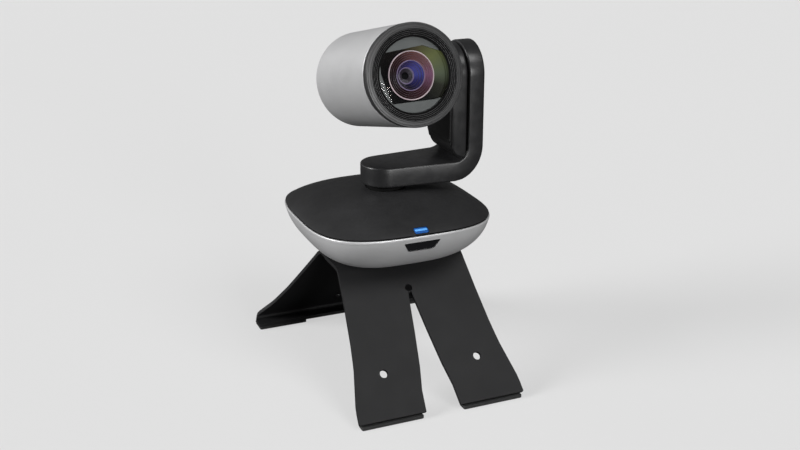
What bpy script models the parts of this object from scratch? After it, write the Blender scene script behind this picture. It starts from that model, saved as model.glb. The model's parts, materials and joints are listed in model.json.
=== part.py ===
"""A pan-tilt-zoom conference camera on a bent sheet stand.

+X is the arm's side, -Y the front, +Z up. The stand's feet rest on Z = 0, with the origin at the middle of
their footprint. Shapes are drawn about the pan axis, which stands PAN_AXIS_Y behind that middle.
"""

import math

import bmesh
import bpy
from mathutils import Matrix, Vector

MM = 0.001
GAP = 0.3 * MM
PAN_AXIS_Y = 9.0 * MM

# Base casing: a rounded-square bowl and dome that meet at a level seam
BASE_HALF_X = 65.5 * MM
BASE_HALF_Y = 65.5 * MM
BASE_POWER = 3.3
DOME_TOP_POWER = 2.2
SEAM_Z = 113.3 * MM
DOME_RISE = 15.3 * MM
DOME_SHAPE = (2.5, 1.2)
BOWL_DROP = 32.8 * MM
BOWL_SHAPE = (1.64, 3.6)
BOWL_FLAT_Z = 84.3 * MM
CASE_WALL = 2.2 * MM
BASE_SIDES = 56

# Arm
PAN_END_R = 17.4 * MM
ARM_HALF_DEPTH = 21.5 * MM
ARM_BOTTOM_Z = 131.6 * MM
ARM_TOP_Z = 145.5 * MM
ARM_OUTER_X = 65.0 * MM
ARM_BAND = 13.0 * MM
ARM_CORNER_R = 24.0 * MM
ARM_INNER_R = 10.0 * MM
BOSS_FACE_X = 40.0 * MM
BOSS_HALF_DEPTH = 18.5 * MM
BOSS_BOTTOM_Z = 147.0 * MM

# Head
TILT_Z = 204.9 * MM
REST_TILT = math.radians(13.4)
HEAD_R = 33.4 * MM
HEAD_FRONT = 52.8 * MM
HEAD_REAR = -50.0 * MM
BEZEL_DEPTH = 5.0 * MM
BEZEL_LAND_R = 29.3 * MM
BEZEL_STEPS = 4
BEZEL_DROP = 0.9 * MM
GLASS_R = 24.0 * MM
GLASS_SEAT_R = GLASS_R + 2.6 * MM
GLASS_BACK_SET = 1.7 * MM
ROUND_SIDES = 40

# Gears, module 1 mm
TOOTH_MODULE = 1.0 * MM
PAN_TEETH = 48
TILT_TEETH = 24
PINION_TEETH = 10

# Stand: one bent sheet
SHEET = 2.5 * MM
STAND_TOP_Z = 83.0 * MM
FRONT_BEND_Y = -25.3 * MM
REAR_BEND_Y = 11.0 * MM
FRONT_FOOT_Y = -99.2 * MM
REAR_FOOT_Y = 87.0 * MM
FLANGE_FRONT_Y = 70.0 * MM
FRONT_PAD_Y = (-101.5 * MM, -95.0 * MM)
REAR_PAD_Y = (70.5 * MM, 83.5 * MM)
PAD_Z = 2.2 * MM


def clear_scene():
    for obj in list(bpy.data.objects):
        bpy.data.objects.remove(obj, do_unlink=True)


def material(name, color, roughness, metallic=0.0):
    mat = bpy.data.materials.new(name)
    mat.use_nodes = True
    shader = mat.node_tree.nodes["Principled BSDF"]
    shader.inputs["Base Color"].default_value = (*color, 1.0)
    shader.inputs["Roughness"].default_value = roughness
    shader.inputs["Metallic"].default_value = metallic
    return mat


def finish_object(name, mesh, mat, parent=None, at=(0, 0, 0)):
    """An object of this mesh, at a place beside the pan axis or, with a parent empty, in the parent's own axes."""
    obj = bpy.data.objects.new(name, mesh)
    bpy.context.scene.collection.objects.link(obj)
    obj.location = at if parent else Vector(at) + Vector((0, PAN_AXIS_Y, 0))
    obj.data.materials.append(mat)
    obj.data.shade_smooth()
    obj.data.set_sharp_from_angle(angle=math.radians(35))
    obj.parent = parent
    return obj


def bmesh_object(name, bm, mat, parent=None, at=(0, 0, 0)):
    bmesh.ops.recalc_face_normals(bm, faces=bm.faces)
    mesh = bpy.data.meshes.new(name)
    bm.to_mesh(mesh)
    bm.free()
    return finish_object(name, mesh, mat, parent, at)


def loft(rings, ring_loop=False):
    """A closed bmesh skin over rings of equally many points. With ring_loop the last ring joins the first."""
    bm = bmesh.new()
    rows = [[bm.verts.new(point) for point in ring] for ring in rings]
    count = len(rings[0])
    pairs = list(zip(rows, rows[1:]))
    if ring_loop:
        pairs.append((rows[-1], rows[0]))
    else:
        bm.faces.new(rows[0])
        bm.faces.new(rows[-1])
    for low, high in pairs:
        for i in range(count):
            j = (i + 1) % count
            bm.faces.new((low[i], low[j], high[j], high[i]))
    return bm


def circle(radius, sides, center=(0.0, 0.0)):
    turns = [2 * math.pi * i / sides for i in range(sides)]
    return [(center[0] + radius * math.cos(a), center[1] + radius * math.sin(a)) for a in turns]


AXES = {
    "Z": Matrix.Identity(3),
    "X": Matrix(((0, 0, 1), (1, 0, 0), (0, 1, 0))),
    "FRONT": Matrix(((1, 0, 0), (0, 0, -1), (0, 1, 0))),
}


def placed(point, axis, origin):
    """(u, v, w) with w along the named axis, moved to origin. FRONT is the -Y direction."""
    return AXES[axis] @ Vector(point) + Vector(origin)


def turned(name, profile, mat, axis="Z", origin=(0, 0, 0), sides=ROUND_SIDES, parent=None, ring=False):
    """Turns (radius, height) pairs. A ring's profile is a closed loop clear of the axis; any other is capped flat."""
    rings = []
    for radius, height in profile:
        rings.append([placed((x, y, height), axis, origin) for x, y in circle(radius, sides)])
    return bmesh_object(name, loft(rings, ring_loop=ring), mat, parent)


def tube(name, outer, inner, low, high, mat, **where):
    profile = [(outer, low), (outer, high), (inner, high), (inner, low)]
    return turned(name, profile, mat, ring=True, **where)


def prism(name, outline, low, high, mat, axis="Z", origin=(0, 0, 0), parent=None, at=(0, 0, 0)):
    rings = [[placed((x, y, h), axis, origin) for x, y in outline] for h in (low, high)]
    return bmesh_object(name, loft(rings), mat, parent, at)


def box(name, low, high, mat, parent=None):
    outline = [(low[0], low[1]), (high[0], low[1]), (high[0], high[1]), (low[0], high[1])]
    return prism(name, outline, low[2], high[2], mat, parent=parent)


def as_cutter(obj):
    obj.hide_render = True
    obj.display_type = "WIRE"
    return obj


def boolean(target, other, operation="DIFFERENCE"):
    as_cutter(other)
    modifier = target.modifiers.new(other.name, "BOOLEAN")
    modifier.operation = operation
    modifier.object = other
    return target


def gear_outline(teeth, first_tooth):
    """Straight-sided teeth on a pitch circle, one of them centred on the first_tooth angle."""
    pitch_r = teeth * TOOTH_MODULE / 2
    tip_r = pitch_r + 0.6 * TOOTH_MODULE
    root_r = pitch_r - 1.0 * TOOTH_MODULE
    step = 2 * math.pi / teeth
    outline = []
    for i in range(teeth):
        center = first_tooth + i * step
        corners = ((root_r, -0.24), (tip_r, -0.11), (tip_r, 0.11), (root_r, 0.24))
        for radius, share in corners:
            angle = center + share * step
            outline.append((radius * math.cos(angle), radius * math.sin(angle)))
    return outline


def squircle(half_x, half_y, power, sides):
    points = []
    for i in range(sides):
        angle = 2 * math.pi * i / sides
        c, s = math.cos(angle), math.sin(angle)
        x = math.copysign(abs(c) ** (2 / power), c)
        y = math.copysign(abs(s) ** (2 / power), s)
        points.append((half_x * x, half_y * y))
    return points


def base_ring(scale, z):
    """The base's outline drawn in to scale, rounder towards its middle."""
    power = BASE_POWER + (DOME_TOP_POWER - BASE_POWER) * (1 - scale)
    outline = squircle(BASE_HALF_X * scale, BASE_HALF_Y * scale, power, BASE_SIDES)
    return [(x, y, z) for x, y in outline]


def dome_z(scale):
    spread, crown = DOME_SHAPE
    return SEAM_Z + DOME_RISE * (1 - scale**spread) ** (1 / crown)


def bowl_scale(z):
    depth, side = BOWL_SHAPE
    return (1 - ((SEAM_Z - z) / BOWL_DROP) ** depth) ** (1 / side)


# Materials
BLACK = material("black_plastic", (0.012, 0.012, 0.013), 0.38)
DOME_BLACK = material("dome_plastic", (0.016, 0.016, 0.017), 0.42)
MATTE_BLACK = material("bezel_plastic", (0.02, 0.02, 0.021), 0.6)
SILVER = material("silver_paint", (0.42, 0.42, 0.43), 0.35, 0.85)
SMOKED = material("smoked_window", (0.01, 0.01, 0.012), 0.15)
BLUE = material("blue_lens", (0.02, 0.16, 0.6), 0.3)
GLASS = material("front_glass", (0.75, 0.8, 0.85), 0.05)
LENS = material("lens_glass", (0.25, 0.2, 0.4), 0.05)
RUBBER = material("rubber", (0.015, 0.015, 0.015), 0.85)
SHEET_METAL = material("stand_paint", (0.022, 0.022, 0.023), 0.5, 0.3)
STEEL = material("steel", (0.55, 0.55, 0.57), 0.35, 1.0)
BRASS = material("brass", (0.7, 0.5, 0.22), 0.35, 1.0)
NYLON = material("gear_nylon", (0.8, 0.78, 0.7), 0.5)
BOARD = material("circuit_board", (0.02, 0.18, 0.07), 0.5)


# --- Stand ---------------------------------------------------------------------------------------

FRONT_WIDTHS = ((83.0, 46.0), (60.0, 48.4), (42.0, 50.8), (30.0, 53.0), (18.0, 56.6), (10.0, 59.0), (0.0, 59.8))
REAR_WIDTHS = ((83.0, 45.0), (61.0, 51.0), (39.0, 57.5), (22.0, 64.5), (12.0, 71.5), (4.0, 76.5), (0.0, 77.0))


def width_at(widths, z):
    """Half-width in metres at height z, read along straight stretches between the given heights in mm."""
    for (high, wide_high), (low, wide_low) in zip(widths, widths[1:]):
        if z >= low * MM:
            share = (z / MM - low) / (high - low)
            return (wide_low + share * (wide_high - wide_low)) * MM
    return widths[-1][1] * MM


def fillet(before, corner, after, radius, steps):
    """Points of an arc that rounds a corner of a (y, z) path."""
    a = (Vector(before) - Vector(corner)).normalized()
    b = (Vector(after) - Vector(corner)).normalized()
    half = a.angle(b) / 2
    reach = radius / math.tan(half)
    center = Vector(corner) + (a + b).normalized() * (radius / math.sin(half))
    start = Vector(corner) + a * reach - center
    turn = math.pi - 2 * half
    if start.x * b.y - start.y * b.x < 0:
        turn = -turn
    points = []
    for i in range(steps + 1):
        angle = turn * i / steps
        c, s = math.cos(angle), math.sin(angle)
        points.append(center + Vector((c * start.x - s * start.y, s * start.x + c * start.y)))
    return points


def rounded_path(corners, radii, steps=5):
    path = [Vector(corners[0])]
    for before, corner, after, radius in zip(corners, corners[1:], corners[2:], radii):
        path += fillet(before, corner, after, radius, steps)
    return path + [Vector(corners[-1])]


def split_long(path, longest):
    """The same path with no stretch longer than longest."""
    points = [path[0]]
    for start, end in zip(path, path[1:]):
        parts = max(1, math.ceil((end - start).length / longest))
        points += [start.lerp(end, i / parts) for i in range(1, parts + 1)]
    return points


def ribbon(name, path, widths, mat):
    """A sheet whose lower face follows a (y, z) path, given from front to back, with a half-width at each point."""
    rings = []
    for i, point in enumerate(path):
        along = (path[min(i + 1, len(path) - 1)] - path[max(i - 1, 0)]).normalized()
        upper = point + Vector((-along.y, along.x)) * SHEET
        half = widths[i]
        corners = ((-half, point), (half, point), (half, upper), (-half, upper))
        rings.append([(x, p.x, p.y) for x, p in corners])
    return bmesh_object(name, loft(rings), mat)


def stand_path():
    top = STAND_TOP_Z - SHEET
    corners = (
        (FRONT_FOOT_Y, PAD_Z + GAP),
        (FRONT_FOOT_Y + 10 * MM, 13 * MM),
        (FRONT_BEND_Y, top),
        (REAR_BEND_Y, top),
        (REAR_FOOT_Y - 4 * MM, PAD_Z + GAP + SHEET),
        (FLANGE_FRONT_Y, PAD_Z + GAP + SHEET),
    )
    return split_long(rounded_path(corners, (9 * MM, 7 * MM, 7 * MM, 2.0 * MM)), 9 * MM)


def make_stand():
    path = stand_path()
    widths = [width_at(FRONT_WIDTHS if p.x < 0 else REAR_WIDTHS, p.y) for p in path]
    bracket = ribbon("stand_bracket", path, widths, SHEET_METAL)
    slit = [(1.1, 66), (2.6, 54), (4.8, 42), (8.2, 24), (11.4, 12), (12.6, 5), (12.6, -5)]
    outline = [(x * MM, z * MM) for x, z in slit]
    outline += [(-x, z) for x, z in reversed(outline)]
    boolean(bracket, prism("slit_cutter", outline, 45 * MM, 120 * MM, RUBBER, axis="FRONT", origin=(0, 15 * MM, 0)))
    holes = (
        ("slit_end_cutter", 0.0, -43.5, 65.2, 2.6),
        ("leg_hole_cutter_left", -34.2, -80.0, 24.3, 2.8),
        ("leg_hole_cutter_right", 34.2, -80.0, 24.3, 2.8),
        ("rear_hole_cutter_left", -12.0, 76.0, 13.0, 2.2),
        ("rear_hole_cutter_right", 12.0, 76.0, 13.0, 2.2),
    )
    for name, x, y, z, radius in holes:
        origin = (x * MM, y * MM, z * MM)
        boolean(bracket, turned(name, [(radius * MM, -12 * MM), (radius * MM, 12 * MM)], RUBBER, "FRONT", origin, 24))
    screw_hole = [(3.6 * MM, 70 * MM), (3.6 * MM, 90 * MM)]
    boolean(bracket, turned("screw_hole_cutter", screw_hole, RUBBER, sides=24))
    for side, name in ((-1, "left"), (1, "right")):
        front = sorted((side * 14.5 * MM, side * 58 * MM))
        rear = sorted((side * 38 * MM, side * 75 * MM))
        for end, across, along in (("front", front, FRONT_PAD_Y), ("rear", rear, REAR_PAD_Y)):
            box(f"{end}_pad_{name}", (across[0], along[0], 0), (across[1], along[1], PAD_Z), RUBBER)


def make_thumb_screw():
    top = STAND_TOP_Z - SHEET - GAP
    knob = [
        (8.0, -10.0),
        (9.0, -9.0),
        (9.0, -2.0),
        (6.5, -1.2),
        (6.5, 0.0),
        (3.0, 0.0),
        (3.0, 10.5),
        (2.4, 11.2),
    ]
    profile = [(radius * MM, top + height * MM) for radius, height in knob]
    turned("thumb_screw", profile, STEEL, sides=32)


# --- Base ----------------------------------------------------------------------------------------

WINDOW_TOP_Z = 108.6 * MM
WINDOW_BOTTOM_Z = 102.0 * MM
WINDOW_HALF = (12.8 * MM, 8.6 * MM)
LED_HALF = 5.2 * MM
LED_Z = (114.3 * MM, 117.4 * MM)
SOCKET_Z = 99.0 * MM
POWER_X = -13.0 * MM
DATA_X = 9.0 * MM
FLOOR_HALF = 36.0 * MM
HUB_R = 10.0 * MM


def make_base_dome():
    scales = (1.0, 0.985, 0.96, 0.92, 0.86, 0.78, 0.68, 0.57, 0.45, 0.34, 0.26)
    inner_scales = (0.26, 0.4, 0.55, 0.7, 0.82, 0.9, 0.955)
    rings = [base_ring(s, dome_z(s) + (GAP if s == 1.0 else 0)) for s in scales]
    hole = circle(14 * MM, BASE_SIDES)
    rings.append([(x, y, dome_z(0.26) + 0.4 * MM) for x, y in hole])
    rings.append([(x, y, dome_z(0.26) - 2.4 * MM) for x, y in hole])
    rings += [base_ring(s * 0.985, max(dome_z(s) - CASE_WALL, SEAM_Z + GAP)) for s in inner_scales]
    dome = bmesh_object("base_dome", loft(rings, ring_loop=True), DOME_BLACK)
    low, high = LED_Z
    outline = [(-LED_HALF, low), (LED_HALF, low), (LED_HALF, high), (-LED_HALF, high)]
    return boolean(dome, prism("led_cutter", outline, 45 * MM, 75 * MM, BLUE, axis="FRONT"))


def window_outline(grow):
    top, bottom = WINDOW_HALF
    high, low = WINDOW_TOP_Z + grow, WINDOW_BOTTOM_Z - grow
    return [(-top - grow, high), (-bottom - grow, low), (bottom + grow, low), (top + grow, high)]


def bowl_rings(inset, heights):
    rings = []
    for z in heights:
        scale = bowl_scale(z)
        power = BASE_POWER + (2.8 - BASE_POWER) * (1 - scale)
        half = BASE_HALF_X * scale - inset
        rings.append([(x, y, z) for x, y in squircle(half, half, power, BASE_SIDES)])
    return rings


def make_base_bowl():
    heights = [z * MM for z in (113.0, 111.5, 109.0, 105.5, 101.0, 96.5, 92.5, 89.0, 86.3)]
    rings = bowl_rings(0, heights + [BOWL_FLAT_Z])
    floor = squircle(FLOOR_HALF, FLOOR_HALF, 2.4, BASE_SIDES)
    rings.append([(x, y, BOWL_FLAT_Z) for x, y in floor])
    rings.append([(x, y, BOWL_FLAT_Z + 2.2 * MM) for x, y in floor])
    inner = [z * MM for z in (90.0, 94.0, 99.0, 104.5, 109.5, 113.0)]
    rings += bowl_rings(CASE_WALL, inner)
    bowl = bmesh_object("base_bowl", loft(rings, ring_loop=True), SILVER)
    window = prism("window_cutter", window_outline(0.3 * MM), 50 * MM, 80 * MM, SMOKED, axis="FRONT")
    boolean(bowl, window)
    power = [(5.6 * MM, -70 * MM), (5.6 * MM, -50 * MM)]
    boolean(bowl, turned("power_cutter", power, SMOKED, "FRONT", (POWER_X, 0, SOCKET_Z), 24))
    data = [(-6.8, -6.3), (6.8, -6.3), (6.8, 6.3), (-6.8, 6.3)]
    outline = [(DATA_X + x * MM, SOCKET_Z + z * MM) for x, z in data]
    return boolean(bowl, prism("data_cutter", outline, -70 * MM, -50 * MM, SMOKED, axis="FRONT"))


def make_front_windows():
    """The dark window in the bowl and the blue lens in the dome, each cut to the outer skin it sits in."""
    front = BASE_HALF_Y * bowl_scale(105.3 * MM)
    prism("ir_window", window_outline(0.0), front - 3.4 * MM, front - 0.6 * MM, SMOKED, axis="FRONT")
    low, high = LED_Z
    half = LED_HALF - GAP
    outline = ((low + GAP, 62.4 * MM), (high - GAP, 58.6 * MM), (high - GAP, 54.4 * MM), (low + GAP, 56.6 * MM))
    rings = [[(x, -y, z) for z, y in outline] for x in (-half, half)]
    bmesh_object("led_lens", loft(rings), BLUE)
    box("ir_receiver", (-5 * MM, -57 * MM, 101 * MM), (5 * MM, -52 * MM, 108 * MM), MATTE_BLACK)
    box("led_board", (-9 * MM, -53 * MM, 115.3 * MM), (9 * MM, -45 * MM, 116.5 * MM), BOARD)


def make_sockets():
    """Round power socket and square data socket, their mouths just inside the bowl's rear skin."""
    skin = BASE_HALF_Y * bowl_scale(SOCKET_Z - 6 * MM)
    where = {"axis": "FRONT", "origin": (POWER_X, 0, SOCKET_Z), "sides": 24}
    mouth = -(skin - 0.8 * MM)
    tube("power_socket", 5.2 * MM, 3.2 * MM, mouth, mouth + 13 * MM, STEEL, **where)
    turned("power_pin", [(1.0 * MM, mouth + 2 * MM), (1.0 * MM, mouth + 15 * MM)], BRASS, **where)
    low = (DATA_X - 6.3 * MM, skin - 15 * MM, SOCKET_Z - 5.8 * MM)
    high = (DATA_X + 6.3 * MM, skin - 0.8 * MM, SOCKET_Z + 5.8 * MM)
    shell = box("data_socket", low, high, STEEL)
    cut_low = (low[0] + 1.4 * MM, low[1] + 3 * MM, low[2] + 1.4 * MM)
    cut_high = (high[0] - 1.4 * MM, high[1] + 5 * MM, high[2] - 1.4 * MM)
    boolean(shell, box("data_mouth_cutter", cut_low, cut_high, SMOKED))


PAN_GEAR_Z = (113.0 * MM, 118.0 * MM)
CARRIER_Z = (101.0 * MM, 104.0 * MM)
PAN_PINION_Y = (PAN_TEETH + PINION_TEETH) * TOOTH_MODULE / 2


def make_base_bottom():
    floor = squircle(FLOOR_HALF - GAP, FLOOR_HALF - GAP, 2.4, BASE_SIDES)
    plate = prism("bottom_plate", floor, BOWL_FLAT_Z + GAP, BOWL_FLAT_Z + 2.2 * MM, BLACK)
    insert_r = 5.5 * MM
    hole = [(insert_r + GAP, 80 * MM), (insert_r + GAP, 90 * MM)]
    boolean(plate, turned("insert_hole_cutter", hole, BLACK, sides=24))
    tube("foot_ring", 29 * MM, 21 * MM, STAND_TOP_Z + GAP, BOWL_FLAT_Z, RUBBER)
    tube("tripod_insert", insert_r, 3.4 * MM, STAND_TOP_Z + GAP, 96 * MM, BRASS, sides=24)


def make_base_inside():
    prism("main_board", rectangle(34 * MM, 29 * MM), 97.2 * MM, 98.8 * MM, BOARD)
    box("main_processor", (-9 * MM, -24 * MM, 99.1 * MM), (9 * MM, -6 * MM, 100.7 * MM), BLACK)
    low, high = CARRIER_Z
    carrier = prism("pan_carrier", squircle(43 * MM, 39 * MM, 4.0, 32), low, high, BLACK)
    boolean(carrier, turned("carrier_hole_cutter", [(7 * MM, 95 * MM), (7 * MM, 110 * MM)], BLACK, sides=24))
    for i, (x, y) in enumerate(((-37, -34), (37, -34), (37, 34), (-37, 34))):
        post = [(2.4 * MM, 90.5 * MM), (2.4 * MM, low + 1 * MM)]
        boolean(carrier, turned(f"post_{i}", post, BLACK, origin=(x * MM, y * MM, 0), sides=12), "UNION")
    tube("pan_bearing", 16 * MM, HUB_R + GAP, high + GAP, 110 * MM, STEEL, sides=40)
    motor = [(11 * MM, high + GAP), (11 * MM, 111.0 * MM), (3 * MM, 111.0 * MM), (3 * MM, 111.8 * MM)]
    turned("pan_motor", motor, STEEL, origin=(0, PAN_PINION_Y, 0), sides=32)
    half_tooth = math.pi / PINION_TEETH
    outline = gear_outline(PINION_TEETH, -math.pi / 2 + half_tooth)
    low, high = PAN_GEAR_Z[0] - 0.5 * MM, PAN_GEAR_Z[1] - 0.5 * MM
    prism("pan_pinion", outline, low, high, BRASS, at=(0, PAN_PINION_Y, 0))


def make_case_screws():
    """Four screws up through the bowl's floor, just outside the bottom plate."""
    for i in range(4):
        angle = math.pi / 4 + i * math.pi / 2
        x, y = 41 * MM * math.cos(angle), 41 * MM * math.sin(angle)
        shape = [(2.2, 88.0), (2.2, 89.2), (1.2, 89.2), (1.2, 90.2)]
        profile = [(radius * MM, z * MM) for radius, z in shape]
        turned(f"case_screw_{i + 1}", profile, STEEL, origin=(x, y, 0), sides=16)


# --- Arm -----------------------------------------------------------------------------------------


def corner_arc(center, radius, start_deg, end_deg, steps):
    angles = [math.radians(start_deg + (end_deg - start_deg) * i / steps) for i in range(steps + 1)]
    return [(center[0] + radius * math.cos(a), center[1] + radius * math.sin(a)) for a in angles]


def arm_elevation():
    """The L-shaped band seen from the front, as (x, z) points."""
    inner_x = ARM_OUTER_X - ARM_BAND
    outline = [(-30 * MM, ARM_BOTTOM_Z)]
    outline += corner_arc((ARM_OUTER_X - ARM_CORNER_R, ARM_BOTTOM_Z + ARM_CORNER_R), ARM_CORNER_R, -90, 0, 12)
    outline += [(ARM_OUTER_X, 240 * MM), (inner_x, 240 * MM)]
    outline += corner_arc((inner_x - ARM_INNER_R, ARM_TOP_Z + ARM_INNER_R), ARM_INNER_R, 0, -90, 8)
    outline.append((-30 * MM, ARM_TOP_Z))
    return outline


def arm_plan():
    """The arm seen from above: a round pan end that widens evenly to the upright."""
    flare = math.asin((ARM_HALF_DEPTH - PAN_END_R) / (52 * MM))
    start = math.degrees(flare) + 90
    end_arc = corner_arc((0, 0), PAN_END_R, start, 360 - start, 24)
    return [(80 * MM, ARM_HALF_DEPTH), (52 * MM, ARM_HALF_DEPTH)] + end_arc + [
        (52 * MM, -ARM_HALF_DEPTH),
        (80 * MM, -ARM_HALF_DEPTH),
    ]


def upright_outline(half_depth, bottom):
    """The upright seen from the side, as (y, z) points from the tilt axis down to bottom."""
    top = corner_arc((0, TILT_Z), half_depth, 0, 180, 28)
    return top + [(-half_depth, bottom), (half_depth, bottom)]


def side_prism(name, outline, low, high, mat):
    """A prism along X over (y, z) points."""
    rings = [[(x, y, z) for y, z in outline] for x in (low, high)]
    return bmesh_object(name, loft(rings), mat)


PINION_BELOW = (TILT_TEETH + PINION_TEETH) * TOOTH_MODULE / 2
TILT_PINION_Z = TILT_Z - PINION_BELOW
TILT_GEAR_X = (44.5 * MM, 49.5 * MM)


def make_arm_shell():
    inner_x = ARM_OUTER_X - ARM_BAND
    arm = prism("arm_shell", arm_elevation(), -30 * MM, 30 * MM, BLACK, axis="FRONT")
    boolean(arm, prism("arm_plan_form", arm_plan(), 120 * MM, 250 * MM, BLACK), "INTERSECT")
    form = side_prism("arm_side_form", upright_outline(ARM_HALF_DEPTH, 120 * MM), -40 * MM, 90 * MM, BLACK)
    boolean(arm, form, "INTERSECT")
    pocket = upright_outline(ARM_HALF_DEPTH - 4 * MM, 160 * MM)
    boolean(arm, side_prism("arm_pocket_cutter", pocket, inner_x - 5 * MM, ARM_OUTER_X - 2.5 * MM, BLACK))
    return arm


def boss_outline(grow):
    """The motor housing seen from the side, narrower than the band it stands on."""
    half = BOSS_HALF_DEPTH + 1.5 * MM + grow
    return corner_arc((0, TILT_Z), half, 0, 180, 28) + [(-half, BOSS_BOTTOM_Z - grow), (half, BOSS_BOTTOM_Z - grow)]


def boss_rings(face_x, back_x, inset):
    """Rings from the housing's open back to its inner face: the sides draw in and the foot curves up."""
    steps = 6
    rings = []
    for i in range(steps + 1):
        turn = math.pi / 2 * i / steps
        x = back_x - (back_x - face_x) * math.sin(turn)
        draw_in = inset + 2.2 * MM * (1 - math.cos(turn))
        foot = BOSS_BOTTOM_Z + inset + (ARM_BAND - 0.5 * MM) * (1 - math.cos(turn))
        ring = [(x, y, max(z, foot)) for y, z in boss_outline(-draw_in)]
        rings.append(ring)
    return rings


def make_arm_cover():
    back = ARM_OUTER_X - ARM_BAND - GAP
    outer = boss_rings(BOSS_FACE_X, back, 0)
    inner = boss_rings(BOSS_FACE_X + 2 * MM, back, 2 * MM)
    cover = bmesh_object("arm_cover", loft(inner[::-1] + outer), BLACK)
    inner_x = ARM_OUTER_X - ARM_BAND
    center = (inner_x - ARM_INNER_R, ARM_TOP_Z + ARM_INNER_R)
    outline = corner_arc(center, ARM_INNER_R - GAP, 0, -90, 8)
    outline += [(center[0] - 5 * MM, ARM_TOP_Z + GAP), (center[0] - 5 * MM, 130 * MM), (60 * MM, 130 * MM),
                (60 * MM, center[1])]
    boolean(cover, prism("corner_cutter", outline, -40 * MM, 40 * MM, BLACK, axis="FRONT"))
    hole = [(HUB_R + GAP, 35 * MM), (HUB_R + GAP, 45 * MM)]
    return boolean(cover, turned("boss_hole_cutter", hole, BLACK, "X", (0, 0, TILT_Z), 32))


def make_arm_inside():
    gear_low, gear_high = TILT_GEAR_X
    half_tooth = math.pi / PINION_TEETH
    outline = gear_outline(PINION_TEETH, math.pi / 2 + half_tooth)
    origin = (0, 0, TILT_PINION_Z)
    pinion = [[(x, y, z) for y, z in outline] for x in (gear_low + 0.4 * MM, gear_high - 0.4 * MM)]
    bmesh_object("tilt_pinion", loft(pinion), BRASS, at=(0, 0, TILT_PINION_Z))
    motor = [(3 * MM, 50.0 * MM), (3 * MM, 51.5 * MM), (9 * MM, 51.5 * MM), (9 * MM, 62.0 * MM)]
    turned("tilt_motor", motor, STEEL, "X", origin, 28)
    tube("tilt_bearing", 7.6 * MM, 5.6 * MM, 52.5 * MM, 57.5 * MM, STEEL, axis="X", origin=(0, 0, TILT_Z), sides=32)


def make_pan_hub():
    """The hollow hub under the arm, with its flange and the pan gear on it."""
    low, high = CARRIER_Z[1] + 2 * GAP, ARM_BOTTOM_Z - GAP
    tube("pan_hub", HUB_R, 6 * MM, low, high, BLACK, sides=40)
    tube("pan_collar", 13 * MM, HUB_R + GAP, 127.2 * MM, high, BLACK, sides=40)
    rings = []
    outline = gear_outline(PAN_TEETH, math.pi / 2)
    bore = circle(HUB_R + GAP, len(outline))
    for source, heights in ((outline, PAN_GEAR_Z), (bore, PAN_GEAR_Z[::-1])):
        rings += [[(x, y, z) for x, y in source] for z in heights]
    bmesh_object("pan_gear", loft(rings, ring_loop=True), NYLON)


# --- Head ----------------------------------------------------------------------------------------


def head_axis():
    empty = bpy.data.objects.new("tilt_axis", None)
    bpy.context.scene.collection.objects.link(empty)
    empty.location = (0, PAN_AXIS_Y, TILT_Z)
    empty.rotation_euler = (-REST_TILT, 0, 0)
    return empty


def make_head_shell(axis):
    """The open barrel with its rounded rear edge, and the disc that closes it."""
    bezel_back = HEAD_FRONT - BEZEL_DEPTH
    wall = 2.2 * MM
    round_r = 8 * MM
    cap_r = 24.0 * MM
    corner = (HEAD_R - round_r, HEAD_REAR + round_r)
    profile = corner_arc(corner, round_r, -90, 0, 7)
    profile += [(HEAD_R, bezel_back - GAP), (HEAD_R - wall, bezel_back - GAP)]
    profile += corner_arc(corner, round_r - wall, 0, -60, 4)
    profile += [(cap_r, HEAD_REAR + wall), (cap_r, HEAD_REAR)]
    sleeve = turned("barrel_sleeve", profile, SILVER, "FRONT", parent=axis, ring=True)
    hub_hole = [(HUB_R + GAP, 25 * MM), (HUB_R + GAP, 40 * MM)]
    boolean(sleeve, turned("hub_hole_cutter", hub_hole, SILVER, "X", sides=32, parent=axis))
    cap = [(cap_r - GAP, HEAD_REAR + 0.4 * MM), (cap_r - GAP, HEAD_REAR + 3 * MM)]
    turned("rear_cap", cap, BLACK, "FRONT", parent=axis)


def make_bezel(axis):
    """A ring with a flat land, shallow steps down to the window, and a seat behind its inner lip."""
    front = HEAD_FRONT
    back = HEAD_FRONT - BEZEL_DEPTH
    chamfer = 1.0 * MM
    relief = 0.6 * MM
    profile = [
        (HEAD_R - relief, back),
        (HEAD_R, back + relief),
        (HEAD_R, front - chamfer),
        (HEAD_R - chamfer, front),
    ]
    for i in range(BEZEL_STEPS):
        radius = BEZEL_LAND_R - (BEZEL_LAND_R - GLASS_R) * i / BEZEL_STEPS
        profile.append((radius, front - BEZEL_DROP * i / BEZEL_STEPS))
        profile.append((radius, front - BEZEL_DROP * (i + 1) / BEZEL_STEPS))
    profile += [
        (GLASS_R, front - BEZEL_DROP),
        (GLASS_R, front - GLASS_BACK_SET),
        (GLASS_SEAT_R, front - GLASS_BACK_SET),
        (GLASS_SEAT_R, back),
    ]
    turned("front_bezel", profile, MATTE_BLACK, "FRONT", parent=axis, ring=True)


GLASS_FRONT = HEAD_FRONT - GLASS_BACK_SET - GAP
GLASS_THICK = 1.0 * MM
MASK_FRONT = GLASS_FRONT - GLASS_THICK - 0.4 * MM
MASK_HALF = (19.0 * MM, 16.4 * MM)
NOSE_R = 16.0 * MM
BOARD_HALF = (19.0 * MM, 17.0 * MM)


def rectangle(half_x, half_y):
    return [(-half_x, -half_y), (half_x, -half_y), (half_x, half_y), (-half_x, half_y)]


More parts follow.
